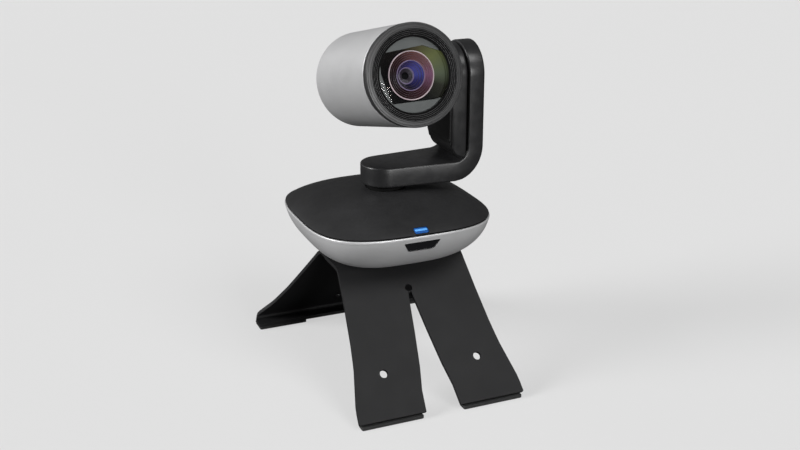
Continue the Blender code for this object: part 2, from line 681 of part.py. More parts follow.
def make_optics(axis):
    """Window, mask, lens barrel and, along its axis from the front, the lenses, the iris, the sensor and boards."""
    where = {"axis": "FRONT", "parent": axis}
    disc_r = GLASS_SEAT_R - 2 * GAP
    turned("front_window", [(disc_r, GLASS_FRONT - GLASS_THICK), (disc_r, GLASS_FRONT)], GLASS, **where)
    mask = turned("lens_mask", [(disc_r, MASK_FRONT - 1 * MM), (disc_r, MASK_FRONT)], MATTE_BLACK, **where)
    cutter = prism("mask_cutter", rectangle(*MASK_HALF), 40 * MM, 60 * MM, MATTE_BLACK, **where)
    boolean(mask, cutter)
    nose_front = MASK_FRONT - 0.2 * MM
    barrel = [(20.0, -27.0), (20.0, 46.5), (NOSE_R / MM, 47.2)]
    profile = [(r * MM, w * MM) for r, w in barrel] + [(NOSE_R, nose_front), (15.2 * MM, nose_front)]
    profile += [(r * MM, w * MM) for r, w in ((15.2, 46.5), (17.0, 45.5), (17.0, -27.0))]
    turned("lens_barrel", profile, MATTE_BLACK, ring=True, **where)
    crown = [(14.9, 43.5), (14.9, 46.6), (13.0, 47.5), (10.5, 48.2), (7.5, 48.6), (4.0, 48.8)]
    turned("front_lens", [(r * MM, w * MM) for r, w in crown], LENS, **where)
    lens_group("zoom_group", 12 * MM, 5 * MM, **where)
    iris = turned("iris_ring", [(16.7 * MM, -3 * MM), (16.7 * MM, -1 * MM)], MATTE_BLACK, **where)
    boolean(iris, turned("iris_cutter", [(5 * MM, -6 * MM), (5 * MM, 2 * MM)], MATTE_BLACK, sides=24, **where))
    lens_group("focus_group", -14 * MM, 4 * MM, **where)
    prism("image_sensor", rectangle(6 * MM, 5 * MM), -29.3 * MM, -27.8 * MM, SMOKED, **where)
    board = rectangle(*BOARD_HALF)
    prism("sensor_board", board, -31.2 * MM, -29.6 * MM, BOARD, **where)
    prism("head_board", board, -40.0 * MM, -38.4 * MM, BOARD, **where)


def lens_group(name, middle, half, **where):
    """A lens in its sliding cell: one turned piece, thick at the rim and crowned at both faces."""
    shape = [(9.5, -0.5), (11.5, -1.0), (16.4, -1.0), (16.4, 1.0), (11.5, 1.0), (9.5, 0.5), (5.0, 0.8)]
    profile = [(5.0 * MM, middle - 0.8 * half)] + [(r * MM, middle + h * half) for r, h in shape]
    turned(name, profile, LENS, sides=40, **where)


def make_tilt_hub(axis):
    where = {"axis": "X", "parent": axis}
    hub = [(4.0, 26.5), (HUB_R / MM - 1, 26.5), (HUB_R / MM, 27.5), (HUB_R / MM, 44.2), (5.2, 44.2), (5.2, 59.5)]
    profile = [(radius * MM, x * MM) for radius, x in hub]
    profile += [(4.0 * MM, 59.5 * MM)]
    turned("tilt_hub", profile, BLACK, sides=32, ring=True, **where)
    outline = gear_outline(TILT_TEETH, -math.pi / 2 + REST_TILT)
    bore = circle(5.5 * MM, len(outline))
    low, high = TILT_GEAR_X
    rings = []
    for source, ends in ((outline, (low, high)), (bore, (high, low))):
        rings += [[(x, y, z) for y, z in source] for x in ends]
    bmesh_object("tilt_gear", loft(rings, ring_loop=True), NYLON, parent=axis)


def main():
    clear_scene()
    make_stand()
    make_thumb_screw()
    make_base_dome()
    make_base_bowl()
    make_front_windows()
    make_sockets()
    make_base_bottom()
    make_base_inside()
    make_case_screws()
    make_arm_shell()
    make_arm_cover()
    make_arm_inside()
    make_pan_hub()
    axis = head_axis()
    make_head_shell(axis)
    make_bezel(axis)
    make_optics(axis)
    make_tilt_hub(axis)


main()
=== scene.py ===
"""Looks of a pan-tilt-zoom conference camera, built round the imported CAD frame.

+X is the arm's side, -Y the front, +Z up, all in metres. The base, the arm and the stand are drawn
about the pan axis. The head is drawn about its tilt axis with the lens pointing up, along +Z, and is
then tipped to its rest angle.
"""

import json
import math

import bmesh
import bpy
from mathutils import Matrix, Vector
from mathutils.geometry import delaunay_2d_cdt


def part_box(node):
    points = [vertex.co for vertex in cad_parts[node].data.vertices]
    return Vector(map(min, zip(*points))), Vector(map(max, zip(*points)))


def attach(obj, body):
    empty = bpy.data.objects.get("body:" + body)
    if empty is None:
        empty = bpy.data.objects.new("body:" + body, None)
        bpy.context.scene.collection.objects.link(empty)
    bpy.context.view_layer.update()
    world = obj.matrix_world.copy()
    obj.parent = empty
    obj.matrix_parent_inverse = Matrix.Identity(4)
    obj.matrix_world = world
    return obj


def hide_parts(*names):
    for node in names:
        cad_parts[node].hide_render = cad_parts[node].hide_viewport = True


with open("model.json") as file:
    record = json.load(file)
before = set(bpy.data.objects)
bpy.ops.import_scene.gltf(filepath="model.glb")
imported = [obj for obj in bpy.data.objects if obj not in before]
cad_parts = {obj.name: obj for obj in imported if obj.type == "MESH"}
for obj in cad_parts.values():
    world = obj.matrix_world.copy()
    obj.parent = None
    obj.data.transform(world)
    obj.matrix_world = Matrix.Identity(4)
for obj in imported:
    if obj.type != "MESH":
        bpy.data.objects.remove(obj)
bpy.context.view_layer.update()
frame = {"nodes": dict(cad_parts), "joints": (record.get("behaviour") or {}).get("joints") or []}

MM = 0.001
JOINTS = {joint["name"]: joint for joint in frame["joints"]}
PAN = Vector(JOINTS["pan"]["pos_m"])
TILT = Vector(JOINTS["tilt"]["pos_m"])
LENS_LINE = Vector(JOINTS["zoom"]["axis"])
REST_TILT = math.atan2(LENS_LINE.z, -LENS_LINE.y)
PAN_SPACE = Matrix.Translation((PAN.x, PAN.y, 0))
HEAD_SPACE = Matrix.Translation(TILT) @ Matrix.Rotation(math.pi / 2 - REST_TILT, 4, "X")


# --- Shapes ---


def skin(rings, wrap=False, cap_first=False, cap_last=False):
    """A bmesh skin over rings of equally many points. A ring of one point is a pole."""
    bm = bmesh.new()
    rows = [[bm.verts.new(point) for point in ring] for ring in rings]
    pairs = list(zip(rows, rows[1:]))
    if wrap:
        pairs.append((rows[-1], rows[0]))
    for low, high in pairs:
        count = max(len(low), len(high))
        for i in range(count):
            j = (i + 1) % count
            corners = [low[i % len(low)], low[j % len(low)], high[j % len(high)], high[i % len(high)]]
            bm.faces.new(list(dict.fromkeys(corners)))
    if cap_first:
        bm.faces.new(rows[0])
    if cap_last:
        bm.faces.new(rows[-1])
    return bm


def soften(points, radius, closed=True, steps=3):
    """The outline with its corners rounded. A point's third value, if it has one, is its own radius."""
    result = []
    count = len(points)
    for i, point in enumerate(points):
        corner = Vector(point[:2])
        wanted = point[2] if len(point) > 2 else radius
        if wanted == 0 or (not closed and i in (0, count - 1)):
            result.append(tuple(corner))
            continue
        before = Vector(points[i - 1][:2]) - corner
        after = Vector(points[(i + 1) % count][:2]) - corner
        half = before.angle(after) / 2
        if half > math.radians(86):
            result.append(tuple(corner))
            continue
        reach = min(wanted / math.tan(half), 0.48 * before.length, 0.48 * after.length)
        before.normalize()
        after.normalize()
        size = reach * math.tan(half)
        center = corner + (before + after).normalized() * (size / math.sin(half))
        start = corner + before * reach - center
        end = corner + after * reach - center
        for k in range(steps + 1):
            spoke = start.lerp(end, k / steps).normalized() * size
            result.append(tuple(center + spoke))
    return result


def arc(center, radius, start_deg, end_deg, steps):
    turns = [math.radians(start_deg + (end_deg - start_deg) * i / steps) for i in range(steps + 1)]
    return [(center[0] + radius * math.cos(a), center[1] + radius * math.sin(a)) for a in turns]


def lathe(profile, sides=128, wrap=True):
    """Turns (radius, height) points about Z. A radius of zero makes a pole."""
    rings = []
    for radius, height in profile:
        if radius < 1e-7:
            rings.append([(0, 0, height)])
        else:
            rings.append([(x, y, height) for x, y in arc((0, 0), radius, 0, 360 - 360 / sides, sides - 1)])
    return skin(rings, wrap)


def squircle(half_x, half_y, power, sides):
    points = []
    for i in range(sides):
        angle = 2 * math.pi * i / sides
        c, s = math.cos(angle), math.sin(angle)
        x = math.copysign(abs(c) ** (2 / power), c)
        y = math.copysign(abs(s) ** (2 / power), s)
        points.append((half_x * x, half_y * y))
    return points


def slab(outline, low, high, rounding=0.0, steps=3):
    """A plate along Z over a convex outline, its two rims rounded."""
    center = sum((Vector(point) for point in outline), Vector((0, 0))) / len(outline)
    rings = []
    turns = [math.pi / 2 * k / steps for k in range(steps + 1)]
    levels = [(1 - math.sin(a), low + rounding * (1 - math.cos(a))) for a in turns]
    levels += [(1 - math.sin(a), high - rounding * (1 - math.cos(a))) for a in reversed(turns)]
    for share, z in levels:
        ring = []
        for point in outline:
            inward = center - Vector(point)
            moved = Vector(point) + inward.normalized() * rounding * share
            ring.append((moved.x, moved.y, z))
        rings.append(ring)
    return skin(rings, cap_first=True, cap_last=True)


def to_mesh(name, bm, space, sharp=35):
    bmesh.ops.transform(bm, matrix=space, verts=bm.verts)
    bmesh.ops.recalc_face_normals(bm, faces=bm.faces)
    mesh = bpy.data.meshes.new(name)
    bm.to_mesh(mesh)
    bm.free()
    mesh.shade_smooth()
    mesh.set_sharp_from_angle(angle=math.radians(sharp))
    return mesh


def piece(name, bm, finish, body, space=PAN_SPACE, stands_for=(), sharp=35):
    """A named piece that rides on a body and may stand for CAD nodes."""
    obj = bpy.data.objects.new(name, to_mesh(name, bm, space, sharp))
    bpy.context.scene.collection.objects.link(obj)
    obj.data.materials.append(finish)
    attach(obj, body)
    if stands_for:
        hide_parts(*stands_for)
    return obj


def carve(obj, bm, space=PAN_SPACE):
    """Cuts a shape out of a piece for good."""
    mesh = to_mesh("cutter", bm, space)
    cutter = bpy.data.objects.new("cutter", mesh)
    bpy.context.scene.collection.objects.link(cutter)
    modifier = obj.modifiers.new("cut", "BOOLEAN")
    modifier.object = cutter
    modifier.solver = "EXACT"
    depsgraph = bpy.context.evaluated_depsgraph_get()
    made = bpy.data.meshes.new_from_object(obj.evaluated_get(depsgraph), depsgraph=depsgraph)
    obj.modifiers.clear()
    obj.data = made
    bpy.data.objects.remove(cutter)
    bpy.data.meshes.remove(mesh)
    made.set_sharp_from_angle(angle=math.radians(35))


TURN_TO_X = Matrix.Rotation(math.pi / 2, 4, "Y")
TURN_TO_FRONT = Matrix.Rotation(math.pi / 2, 4, "X")


# --- Finishes ---

DRIFT_DETAIL = 3.0


class Finish:
    """A Principled material that takes colour drift, roughness drift and grain, each from its own noise."""

    def __init__(self, name, color, roughness, metallic=0.0, **constants):
        self.material = bpy.data.materials.new(name)
        self.material.use_nodes = True
        self.nodes = self.material.node_tree.nodes
        self.links = self.material.node_tree.links
        self.shader = self.nodes["Principled BSDF"]
        self.color = (*color, 1.0)
        values = {"Base Color": self.color, "Roughness": roughness, "Metallic": metallic, **constants}
        for socket, value in values.items():
            self.shader.inputs[socket].default_value = value
        self.coordinates = self.nodes.new("ShaderNodeTexCoord").outputs["Object"]

    def link(self, output, node, socket):
        self.links.new(output, node.inputs[socket])

    def noise(self, scale, detail, stretch=(1, 1, 1)):
        mapping = self.nodes.new("ShaderNodeMapping")
        mapping.inputs["Scale"].default_value = stretch
        self.link(self.coordinates, mapping, "Vector")
        texture = self.nodes.new("ShaderNodeTexNoise")
        texture.inputs["Scale"].default_value = scale
        texture.inputs["Detail"].default_value = detail
        self.link(mapping.outputs["Vector"], texture, "Vector")
        return texture.outputs["Fac"]

    def ranged(self, value, low, high):
        """Maps the middle part of a noise to low..high."""
        ranger = self.nodes.new("ShaderNodeMapRange")
        numbers = {"From Min": 0.3, "From Max": 0.7, "To Min": low, "To Max": high}
        for socket, number in numbers.items():
            ranger.inputs[socket].default_value = number
        self.link(value, ranger, "Value")
        return ranger.outputs["Result"]

    def drift(self, other, scale):
        """Lets the colour wander between its own and another."""
        mix = self.nodes.new("ShaderNodeMix")
        mix.data_type = "RGBA"
        mix.inputs["A"].default_value = self.color
        mix.inputs["B"].default_value = (*other, 1.0)
        self.link(self.ranged(self.noise(scale, DRIFT_DETAIL), 0.0, 1.0), mix, "Factor")
        self.link(mix.outputs["Result"], self.shader, "Base Color")
        return self

    def polish(self, low, high, scale, stretch=(1, 1, 1)):
        """Lets the roughness wander between two values."""
        wander = self.ranged(self.noise(scale, DRIFT_DETAIL, stretch), low, high)
        self.link(wander, self.shader, "Roughness")
        return self

    def grain(self, scale, depth, detail=2.0, stretch=(1, 1, 1)):
        """Fine relief, with its depth in metres."""
        bump = self.nodes.new("ShaderNodeBump")
        bump.inputs["Strength"].default_value = 1.0
        bump.inputs["Distance"].default_value = depth
        self.link(self.noise(scale, detail, stretch), bump, "Height")
        self.link(bump.outputs["Normal"], self.shader, "Normal")
        return self


def plastic(name, color, roughness, grain_scale=2600, depth=12e-6, gloss=0.5):
    lighter = tuple(channel * 1.25 + 0.001 for channel in color)
    finish = Finish(name, color, roughness, **{"Specular IOR Level": gloss})
    finish.drift(lighter, 45).polish(roughness - 0.05, roughness + 0.06, 160).grain(grain_scale, depth)
    return finish.material


def metal(name, color, roughness, stretch=(1, 1, 1)):
    darker = tuple(channel * 0.86 for channel in color)
    finish = Finish(name, color, roughness, 1.0)
    finish.drift(darker, 60).polish(roughness - 0.06, roughness + 0.08, 300, stretch=stretch)
    return finish.grain(1500, 6e-6, stretch=stretch).material


SILVER = Finish("silver_paint", (0.56, 0.56, 0.565), 0.42, 0.45,
                **{"Coat Weight": 0.1, "Coat Roughness": 0.3})
SILVER.drift((0.53, 0.53, 0.535), 35).polish(0.40, 0.45, 120).grain(3200, 7e-6)
SILVER = SILVER.material
DOME_BLACK = plastic("dome_plastic", (0.012, 0.012, 0.0125), 0.5, gloss=0.3)
BLACK = plastic("black_plastic", (0.010, 0.010, 0.0105), 0.33, depth=8e-6, gloss=0.4)
MATTE_BLACK = plastic("bezel_plastic", (0.022, 0.022, 0.0225), 0.40, depth=8e-6, gloss=0.4)
# A lighter copy of the bezel's black: painted highlight on the bezel's ridges.
CREST_PAINTED_HIGHLIGHT = plastic("ridge_painted_highlight", (0.026, 0.026, 0.027), 0.3, depth=4e-6)
# Near black: painted shade in gaps, grooves and recesses, and the colour of a few dark inner parts.
DEEP_BLACK_AND_PAINTED_SHADE = plastic("shadow_plastic", (0.002, 0.002, 0.002), 0.7, gloss=0.06)
RUBBER = plastic("rubber", (0.012, 0.012, 0.012), 0.78, 900, 40e-6)
NYLON = plastic("gear_nylon", (0.78, 0.76, 0.68), 0.5, 500, 10e-6)
BOARD = plastic("circuit_board", (0.02, 0.16, 0.06), 0.42, 700, 15e-6)
STEEL = metal("steel", (0.56, 0.56, 0.58), 0.32, (1, 1, 8))
BRASS = metal("brass", (0.72, 0.52, 0.24), 0.3, (1, 1, 8))
SMOKED = plastic("smoked_window", (0.006, 0.006, 0.007), 0.14, 200, 2e-6)

POWDER = Finish("stand_powder_coat", (0.0085, 0.0085, 0.009), 0.55, 0.0, **{"Specular IOR Level": 0.2})
POWDER.drift((0.0100, 0.0100, 0.0105), 14).polish(0.53, 0.58, 60).grain(1300, 22e-6, 3.0)
POWDER = POWDER.material


# --- Base ---

BASE_LOW, BASE_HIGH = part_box("base_bowl")
BASE_HALF = (BASE_HIGH.x - BASE_LOW.x) / 2
SEAM_Z = BASE_HIGH.z + 0.3 * MM
BASE_SIDES = 192
RIM_POWER = 3.3
DOME_TOP_POWER = 2.2
BOWL_FOOT_POWER = 2.8
DOME_HEIGHT = 15.3 * MM
BOWL_DROP = 32.8 * MM
BOWL_FLAT_Z = BASE_LOW.z
CASE_WALL = 2.2 * MM
HUB_HOLE_R = 14 * MM
LED_LOW, LED_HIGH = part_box("led_lens")
WINDOW_LOW, WINDOW_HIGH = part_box("ir_window")


def dome_z(scale):
    """Height of the dome where its outline is drawn in to scale."""
    return SEAM_Z + DOME_HEIGHT * (1 - scale**2.5) ** (1 / 1.2)


def bowl_scale(z):
    """How far the bowl's outline is drawn in at height z."""
    return (1 - ((SEAM_Z - z) / BOWL_DROP) ** 1.64) ** (1 / 3.6)


def base_ring(scale, z, middle_power, tuck=0.0):
    """The base's outline drawn in to scale, rounder towards the middle."""
    power = RIM_POWER + (middle_power - RIM_POWER) * (1 - scale)
    half = BASE_HALF * scale - tuck
    return [(x, y, z) for x, y in squircle(half, half, power, BASE_SIDES)]


def dome_ring(scale, z, tuck=0.0):
    return base_ring(scale, z, DOME_TOP_POWER, tuck)


def bowl_ring(scale, z, tuck=0.0):
    return base_ring(scale, z, BOWL_FOOT_POWER, tuck)


def flat_ring(half, z):
    """The rim of the opening in the bowl's flat underside."""
    return [(x, y, z) for x, y in squircle(half, half, 2.4, BASE_SIDES)]


def make_dome():
    """Satin cover with a fine edge at the seam and a tongue that hides the joint from inside."""
    edge_z = SEAM_Z + 0.75 * MM
    tongue_z = SEAM_Z - 2.2 * MM
    rings = [dome_ring(1.0, edge_z, 1.3 * MM), dome_ring(1.0, edge_z, 0.5 * MM)]
    steps = 44
    start = 1 - 0.8 * MM / BASE_HALF
    end = HUB_HOLE_R / BASE_HALF
    for i in range(steps + 1):
        share = math.sin(math.pi / 2 * i / steps)
        scale = end + (start - end) * math.cos(math.pi / 2 * share)
        rings.append(dome_ring(scale, dome_z(scale)))
    rings.append(dome_ring(end - 0.006, dome_z(end) - 0.3 * MM))
    rings.append(dome_ring(end - 0.006, dome_z(end) - 2.4 * MM))
    for scale in (0.4, 0.55, 0.7, 0.82, 0.9, 0.955):
        rings.append(dome_ring(scale, max(dome_z(scale) - CASE_WALL, SEAM_Z + 0.4 * MM)))
    rings.append(dome_ring(0.962, tongue_z))
    rings.append(dome_ring(1.0, tongue_z, 1.5 * MM))
    rings.append(dome_ring(1.0, edge_z, 1.5 * MM))
    dome = piece("dome_cover", skin(rings, wrap=True), DOME_BLACK, "stand",
                 stands_for=["base_dome"])
    hole = soften(led_outline(0.25 * MM), 0.9 * MM)
    carve(dome, slab(hole, 40 * MM, 75 * MM), PAN_SPACE @ TURN_TO_FRONT)


def make_seam_shade():
    """A near-black ring in the gap between the dome and the bowl: painted shade for the joint."""
    levels = ((1.2, -0.9), (0.9, -0.9), (0.9, 0.7), (1.2, 0.7))
    rings = [dome_ring(1.0, SEAM_Z + z * MM, tuck * MM) for tuck, z in levels]
    piece("painted_seam_shade", skin(rings, wrap=True), DEEP_BLACK_AND_PAINTED_SHADE, "stand")


def oblong(left, right, low, high):
    return [(left, low), (right, low), (right, high), (left, high)]


def led_outline(grow=0.0):
    half = (LED_HIGH.x - LED_LOW.x) / 2 + grow
    return oblong(-half, half, LED_LOW.z - grow, LED_HIGH.z + grow)


def window_outline(grow=0.0):
    top = (WINDOW_HIGH.x - WINDOW_LOW.x) / 2 + grow
    bottom = top - 4.2 * MM
    high, low = WINDOW_HIGH.z + grow, WINDOW_LOW.z - grow
    top_round, bottom_round = 0.5 * MM, 2.6 * MM
    outline = [(-top, high, top_round), (-bottom, low, bottom_round)]
    outline += [(bottom, low, bottom_round), (top, high, top_round)]
    return soften(outline, 0, steps=6)


def make_bowl():
    """Silver bowl: a fine rolled lip at the seam, then the curved side down to the flat underside."""
    top = SEAM_Z - 0.3 * MM
    lip_round = 0.55 * MM
    lip_foot = top - 1.9 * MM
    skin_tuck = 0.2 * MM
    rings = [bowl_ring(1.0, top - 0.9 * MM, 1.3 * MM), bowl_ring(1.0, top, 1.0 * MM)]
    for k in range(5):
        turn = math.pi / 2 * k / 4
        tuck = lip_round * (1 - math.sin(turn))
        rings.append(bowl_ring(1.0, top - lip_round * (1 - math.cos(turn)), tuck))
    rings.append(bowl_ring(bowl_scale(lip_foot), lip_foot, 0.02 * MM))
    rings.append(bowl_ring(bowl_scale(lip_foot), lip_foot - 0.12 * MM, skin_tuck))
    steps = 40
    start, end = lip_foot - 0.3 * MM, BOWL_FLAT_Z
    for i in range(steps + 1):
        z = start + (end - start) * math.sin(math.pi / 2 * i / steps)
        rings.append(bowl_ring(bowl_scale(z), z, skin_tuck))
    inner = end + CASE_WALL
    rings.append(flat_ring(37 * MM, end))
    rings.append(flat_ring(36 * MM, end + 0.5 * MM))
    rings.append(flat_ring(36 * MM, inner))
    for i in range(8):
        z = inner + 1.5 * MM + (top - 3 * MM - inner) * i / 7
        rings.append(bowl_ring(bowl_scale(z), z, 2.3 * MM))
    bowl = piece("bowl_shell", skin(rings, wrap=True), SILVER, "stand", stands_for=["base_bowl"])
    carve(bowl, slab(window_outline(0.35 * MM), 45 * MM, 80 * MM), PAN_SPACE @ TURN_TO_FRONT)
    low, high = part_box("power_socket")
    hole_r = (high.x - low.x) / 2 + 0.3 * MM
    hole = arc(((low.x + high.x) / 2, (low.z + high.z) / 2), hole_r, 0, 352.5, 47)
    carve(bowl, slab(hole, -80 * MM, -45 * MM), PAN_SPACE @ TURN_TO_FRONT)
    low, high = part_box("data_socket")
    grow = 0.35 * MM
    corners = oblong(low.x - grow, high.x + grow, low.z - grow, high.z + grow)
    carve(bowl, slab(soften(corners, 1.0 * MM), -80 * MM, -45 * MM), PAN_SPACE @ TURN_TO_FRONT)


def front_y(z):
    """How far the bowl's front skin stands before the pan axis at height z."""
    return BASE_HALF * bowl_scale(z)


def make_window():
    """Dark glossy window that follows the bowl's slope, sunk a little, with its front edge eased."""
    middle = (WINDOW_LOW.z + WINDOW_HIGH.z) / 2
    rings = []
    for sink, share_x, share_z in ((3.2, 1.0, 1.0), (1.1, 1.0, 1.0), (0.85, 0.985, 0.96875)):
        ring = []
        for x, z in window_outline():
            level = middle + (z - middle) * share_z
            ring.append((x * share_x, -(front_y(level) - sink * MM), level))
        rings.append(ring)
    piece("receiver_window", skin(rings, cap_first=True, cap_last=True), SMOKED, "stand",
          stands_for=["ir_window"])


BLUE = Finish("blue_lens", (0.008, 0.06, 0.24), 0.28, **{"Coat Weight": 0.4, "Coat Roughness": 0.12})
BLUE.drift((0.012, 0.09, 0.32), 900).polish(0.24, 0.34, 500).grain(1500, 6e-6)
BLUE = BLUE.material
GLOW = Finish("blue_glow", (0.07, 0.26, 0.60), 0.3,
              **{"Emission Color": (0.10, 0.35, 0.85, 1), "Emission Strength": 0.22})
GLOW = GLOW.drift((0.10, 0.32, 0.68), 1200).polish(0.25, 0.35, 500).grain(1500, 4e-6).material


def led_front(z):
    """How far the dome's skin stands before the pan axis at height z, near the light."""
    low, high = 0.0, 1.0
    for _ in range(30):
        middle = (low + high) / 2
        if dome_z(middle) > z:
            low = middle
        else:
            high = middle
    return BASE_HALF * low


def make_led():
    """Small blue light that follows the dome's slope, with a lighter bar in its upper half."""
    outline = soften(led_outline(), 0.8 * MM, steps=5)
    rings = []
    for sink, share in ((3.0, 1.0), (0.45, 1.0), (0.2, 0.9875)):
        rings.append([(x * share, -(led_front(z) - sink * MM), z) for x, z in outline])
    piece("status_light", skin(rings, cap_first=True, cap_last=True), BLUE, "stand",
          stands_for=["led_lens"])
    half, middle = 4.3 * MM, (LED_LOW.z + LED_HIGH.z) / 2
    bar = soften(oblong(-half, half, middle - 0.1 * MM, middle + 0.75 * MM), 0.25 * MM)
    rings = [[(x, -(led_front(z) - sink * MM), z) for x, z in bar] for sink in (0.6, 0.12)]
    piece("status_glow", skin(rings, cap_first=True, cap_last=True), GLOW, "stand")


make_dome()
make_seam_shade()
make_bowl()
make_window()
make_led()


# --- Arm ---

ARM_LOW, ARM_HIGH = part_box("arm_shell")
PAN_END_R = PAN.x - ARM_LOW.x
ARM_HALF = 21.5 * MM
ARM_BOTTOM = ARM_LOW.z
ARM_TOP = ARM_BOTTOM + 13.9 * MM
ARM_OUTER = ARM_HIGH.x
ARM_INNER = ARM_OUTER - 11.6 * MM
BEND = Vector((ARM_INNER - 10.2 * MM, ARM_TOP + 10.2 * MM))
BEND_RUN = 27 * MM


def arm_station(s):
    """The band's outer and inner (x, z) points at a run s: level, then round the bend, then up."""
    if s <= BEND.x:
        return Vector((s, ARM_BOTTOM)), Vector((s, ARM_TOP))
    if s >= BEND.x + BEND_RUN:
        z = BEND.y + s - BEND.x - BEND_RUN
        return Vector((ARM_OUTER, z)), Vector((ARM_INNER, z))
    turn = (s - BEND.x) / BEND_RUN * math.pi / 2
    spoke = Vector((math.sin(turn), -math.cos(turn)))
    outer_x, outer_z = ARM_OUTER - BEND.x, BEND.y - ARM_BOTTOM
    inner_x, inner_z = ARM_INNER - BEND.x, BEND.y - ARM_TOP
    outer = BEND + Vector((spoke.x * outer_x, spoke.y * outer_z))
    inner = BEND + Vector((spoke.x * inner_x, spoke.y * inner_z))
    return outer, inner


def arm_half_outline():
    """(run, half depth) points: round pan end, even flare, straight upright, round top."""
    flare_end = BEND.x + 5 * MM
    flare = math.asin((ARM_HALF - PAN_END_R) / flare_end)
    points = []
    steps = 26
    for i in range(steps + 1):
        angle = math.pi - (math.pi / 2 - flare) * i / steps
        points.append(Vector((PAN_END_R * math.cos(angle), PAN_END_R * math.sin(angle))))
    last = points[-1]
    for i in range(1, 13):
        points.append(last.lerp(Vector((flare_end, ARM_HALF)), i / 12))
    top_run = BEND.x + BEND_RUN + TILT.z - BEND.y
    for i in range(1, 31):
        points.append(Vector((flare_end + (top_run - flare_end) * i / 30, ARM_HALF)))
    steps = 34
    for i in range(1, steps + 1):
        angle = math.pi / 2 * (1 - i / steps)
        points.append(Vector((top_run + ARM_HALF * math.cos(angle), ARM_HALF * math.sin(angle))))
    return points


def inset(points, distance):
    """An open outline's points moved inwards, its ends kept on the centre line."""
    moved = []
    for i, point in enumerate(points):
        along = (points[min(i + 1, len(points) - 1)] - points[max(i - 1, 0)]).normalized()
        new = point + Vector((along.y, -along.x)) * distance
        if i == 0:
            new = point + Vector((distance, 0))
        if i == len(points) - 1:
            new = point - Vector((distance, 0))
        moved.append(Vector((new.x, max(new.y, 0.0))))
    return moved


def make_band():
    """The L-shaped band, drawn flat as a plate with rounded rims and then bent along its run."""
    outline = arm_half_outline()
    outer_round, inner_round = 1.4 * MM, 1.0 * MM
    steps = 4
    layers = []
    for k in range(steps + 1):
        turn = math.pi / 2 * k / steps
        layers.append((outer_round * (1 - math.sin(turn)), outer_round * (1 - math.cos(turn)), 0))
    for k in range(steps + 1):
        turn = math.pi / 2 * (1 - k / steps)
        layers.append((inner_round * (1 - math.sin(turn)), -inner_round * (1 - math.cos(turn)), 1))
    rings = []
    for draw_in, depth, from_inner in layers:
        right = inset(outline, draw_in)
        flat = [(p.x, p.y) for p in right] + [(p.x, -p.y) for p in right[-2:0:-1]]
        ring = []
        for s, y in flat:
            outer, inner = arm_station(s)
            across = (inner - outer).normalized()
            base = inner if from_inner else outer
            point = base + across * depth
            ring.append((point.x, y, point.y))
        rings.append(ring)
    bm = skin(rings)
    bm.verts.ensure_lookup_table()
    count = len(rings[0])
    half = len(outline)
    for first in (0, (len(rings) - 1) * count):
        for i in range(half - 1):
            corners = (i, i + 1, (count - i - 1) % count, (count - i) % count)
            bm.faces.new(list(dict.fromkeys(bm.verts[first + corner] for corner in corners)))
    piece("arm_band", bm, BLACK, "arm", stands_for=["arm_shell"])


BOSS_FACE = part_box("arm_cover")[0].x
BOSS_HALF = 20.0 * MM
BOSS_FOOT = ARM_TOP + 1.5 * MM
GROOVE = 1.1 * MM
HEAD_R = 33.4 * MM


def boss_ring(x, half, foot):
    """One slice of the motor housing across X: round above the tilt axis, straight below, foot rounded."""
    top = arc((0, TILT.z), half, 0, 180, 44)
    corners = [(-half, TILT.z), (-half, foot), (half, foot), (half, TILT.z)]
    lower = soften(corners, 2.2 * MM, closed=False, steps=5)
    return [(x, y, z) for y, z in top[:-1] + lower[:-1]]


def make_boss():
    """The motor housing: a waist against the band, a swelling side with one seam, and a rounded face."""
    back = ARM_INNER - GROOVE
    depth = back - BOSS_FACE
    waist = 2.5 * MM
    edge = 0.6 * MM
    waist_xs = (ARM_INNER + 0.3 * MM, back + 0.05 * MM)
    rings = [boss_ring(x, BOSS_HALF - waist, BOSS_FOOT + waist) for x in waist_xs]
    for k in range(4):
        turn = math.pi / 2 * k / 3
        tuck = edge * (1 - math.sin(turn))
        rings.append(boss_ring(back - edge * (1 - math.cos(turn)), BOSS_HALF - tuck, BOSS_FOOT + tuck))
    steps = 16
    seam_at, seam = 13, 0.6 * MM
    for i in range(1, steps + 1):
        turn = math.pi / 2 * i / steps
        x = back - edge - (depth - 2.1 * MM) * math.sin(turn)
        half = BOSS_HALF - 1.2 * MM * (1 - math.cos(turn))
        foot = BOSS_FOOT + 12.0 * MM * (1 - math.cos(turn))
        if i == seam_at:
            rings.append(boss_ring(x + 0.02 * MM, half, foot))
            rings.append(boss_ring(x, half - 0.8 * MM, foot + 0.8 * MM))
            rings.append(boss_ring(x - seam + 0.02 * MM, half - 0.8 * MM, foot + 0.9 * MM))
            rings.append(boss_ring(x - seam, half - 0.03 * MM, foot + 0.1 * MM))
        else:
            rings.append(boss_ring(x - (seam if i > seam_at else 0), half, foot))
    face_x = x - seam
    rim = face_x - BOSS_FACE
    for k in range(1, 5):
        turn = math.pi / 2 * k / 4
        tuck = rim * (1 - math.cos(turn))
        rings.append(boss_ring(face_x - rim * math.sin(turn), half - tuck, foot + tuck))
    boss = piece("motor_housing", skin(rings, cap_first=True, cap_last=True), BLACK, "arm",
                 stands_for=["arm_cover"])
    well = arc((0, TILT.z), 11.4 * MM, 0, 356.25, 95)
    carve(boss, skin([[(x, y, z) for y, z in well] for x in (BOSS_FACE - 2 * MM, BOSS_FACE + 2.2 * MM)],
                     cap_first=True, cap_last=True))


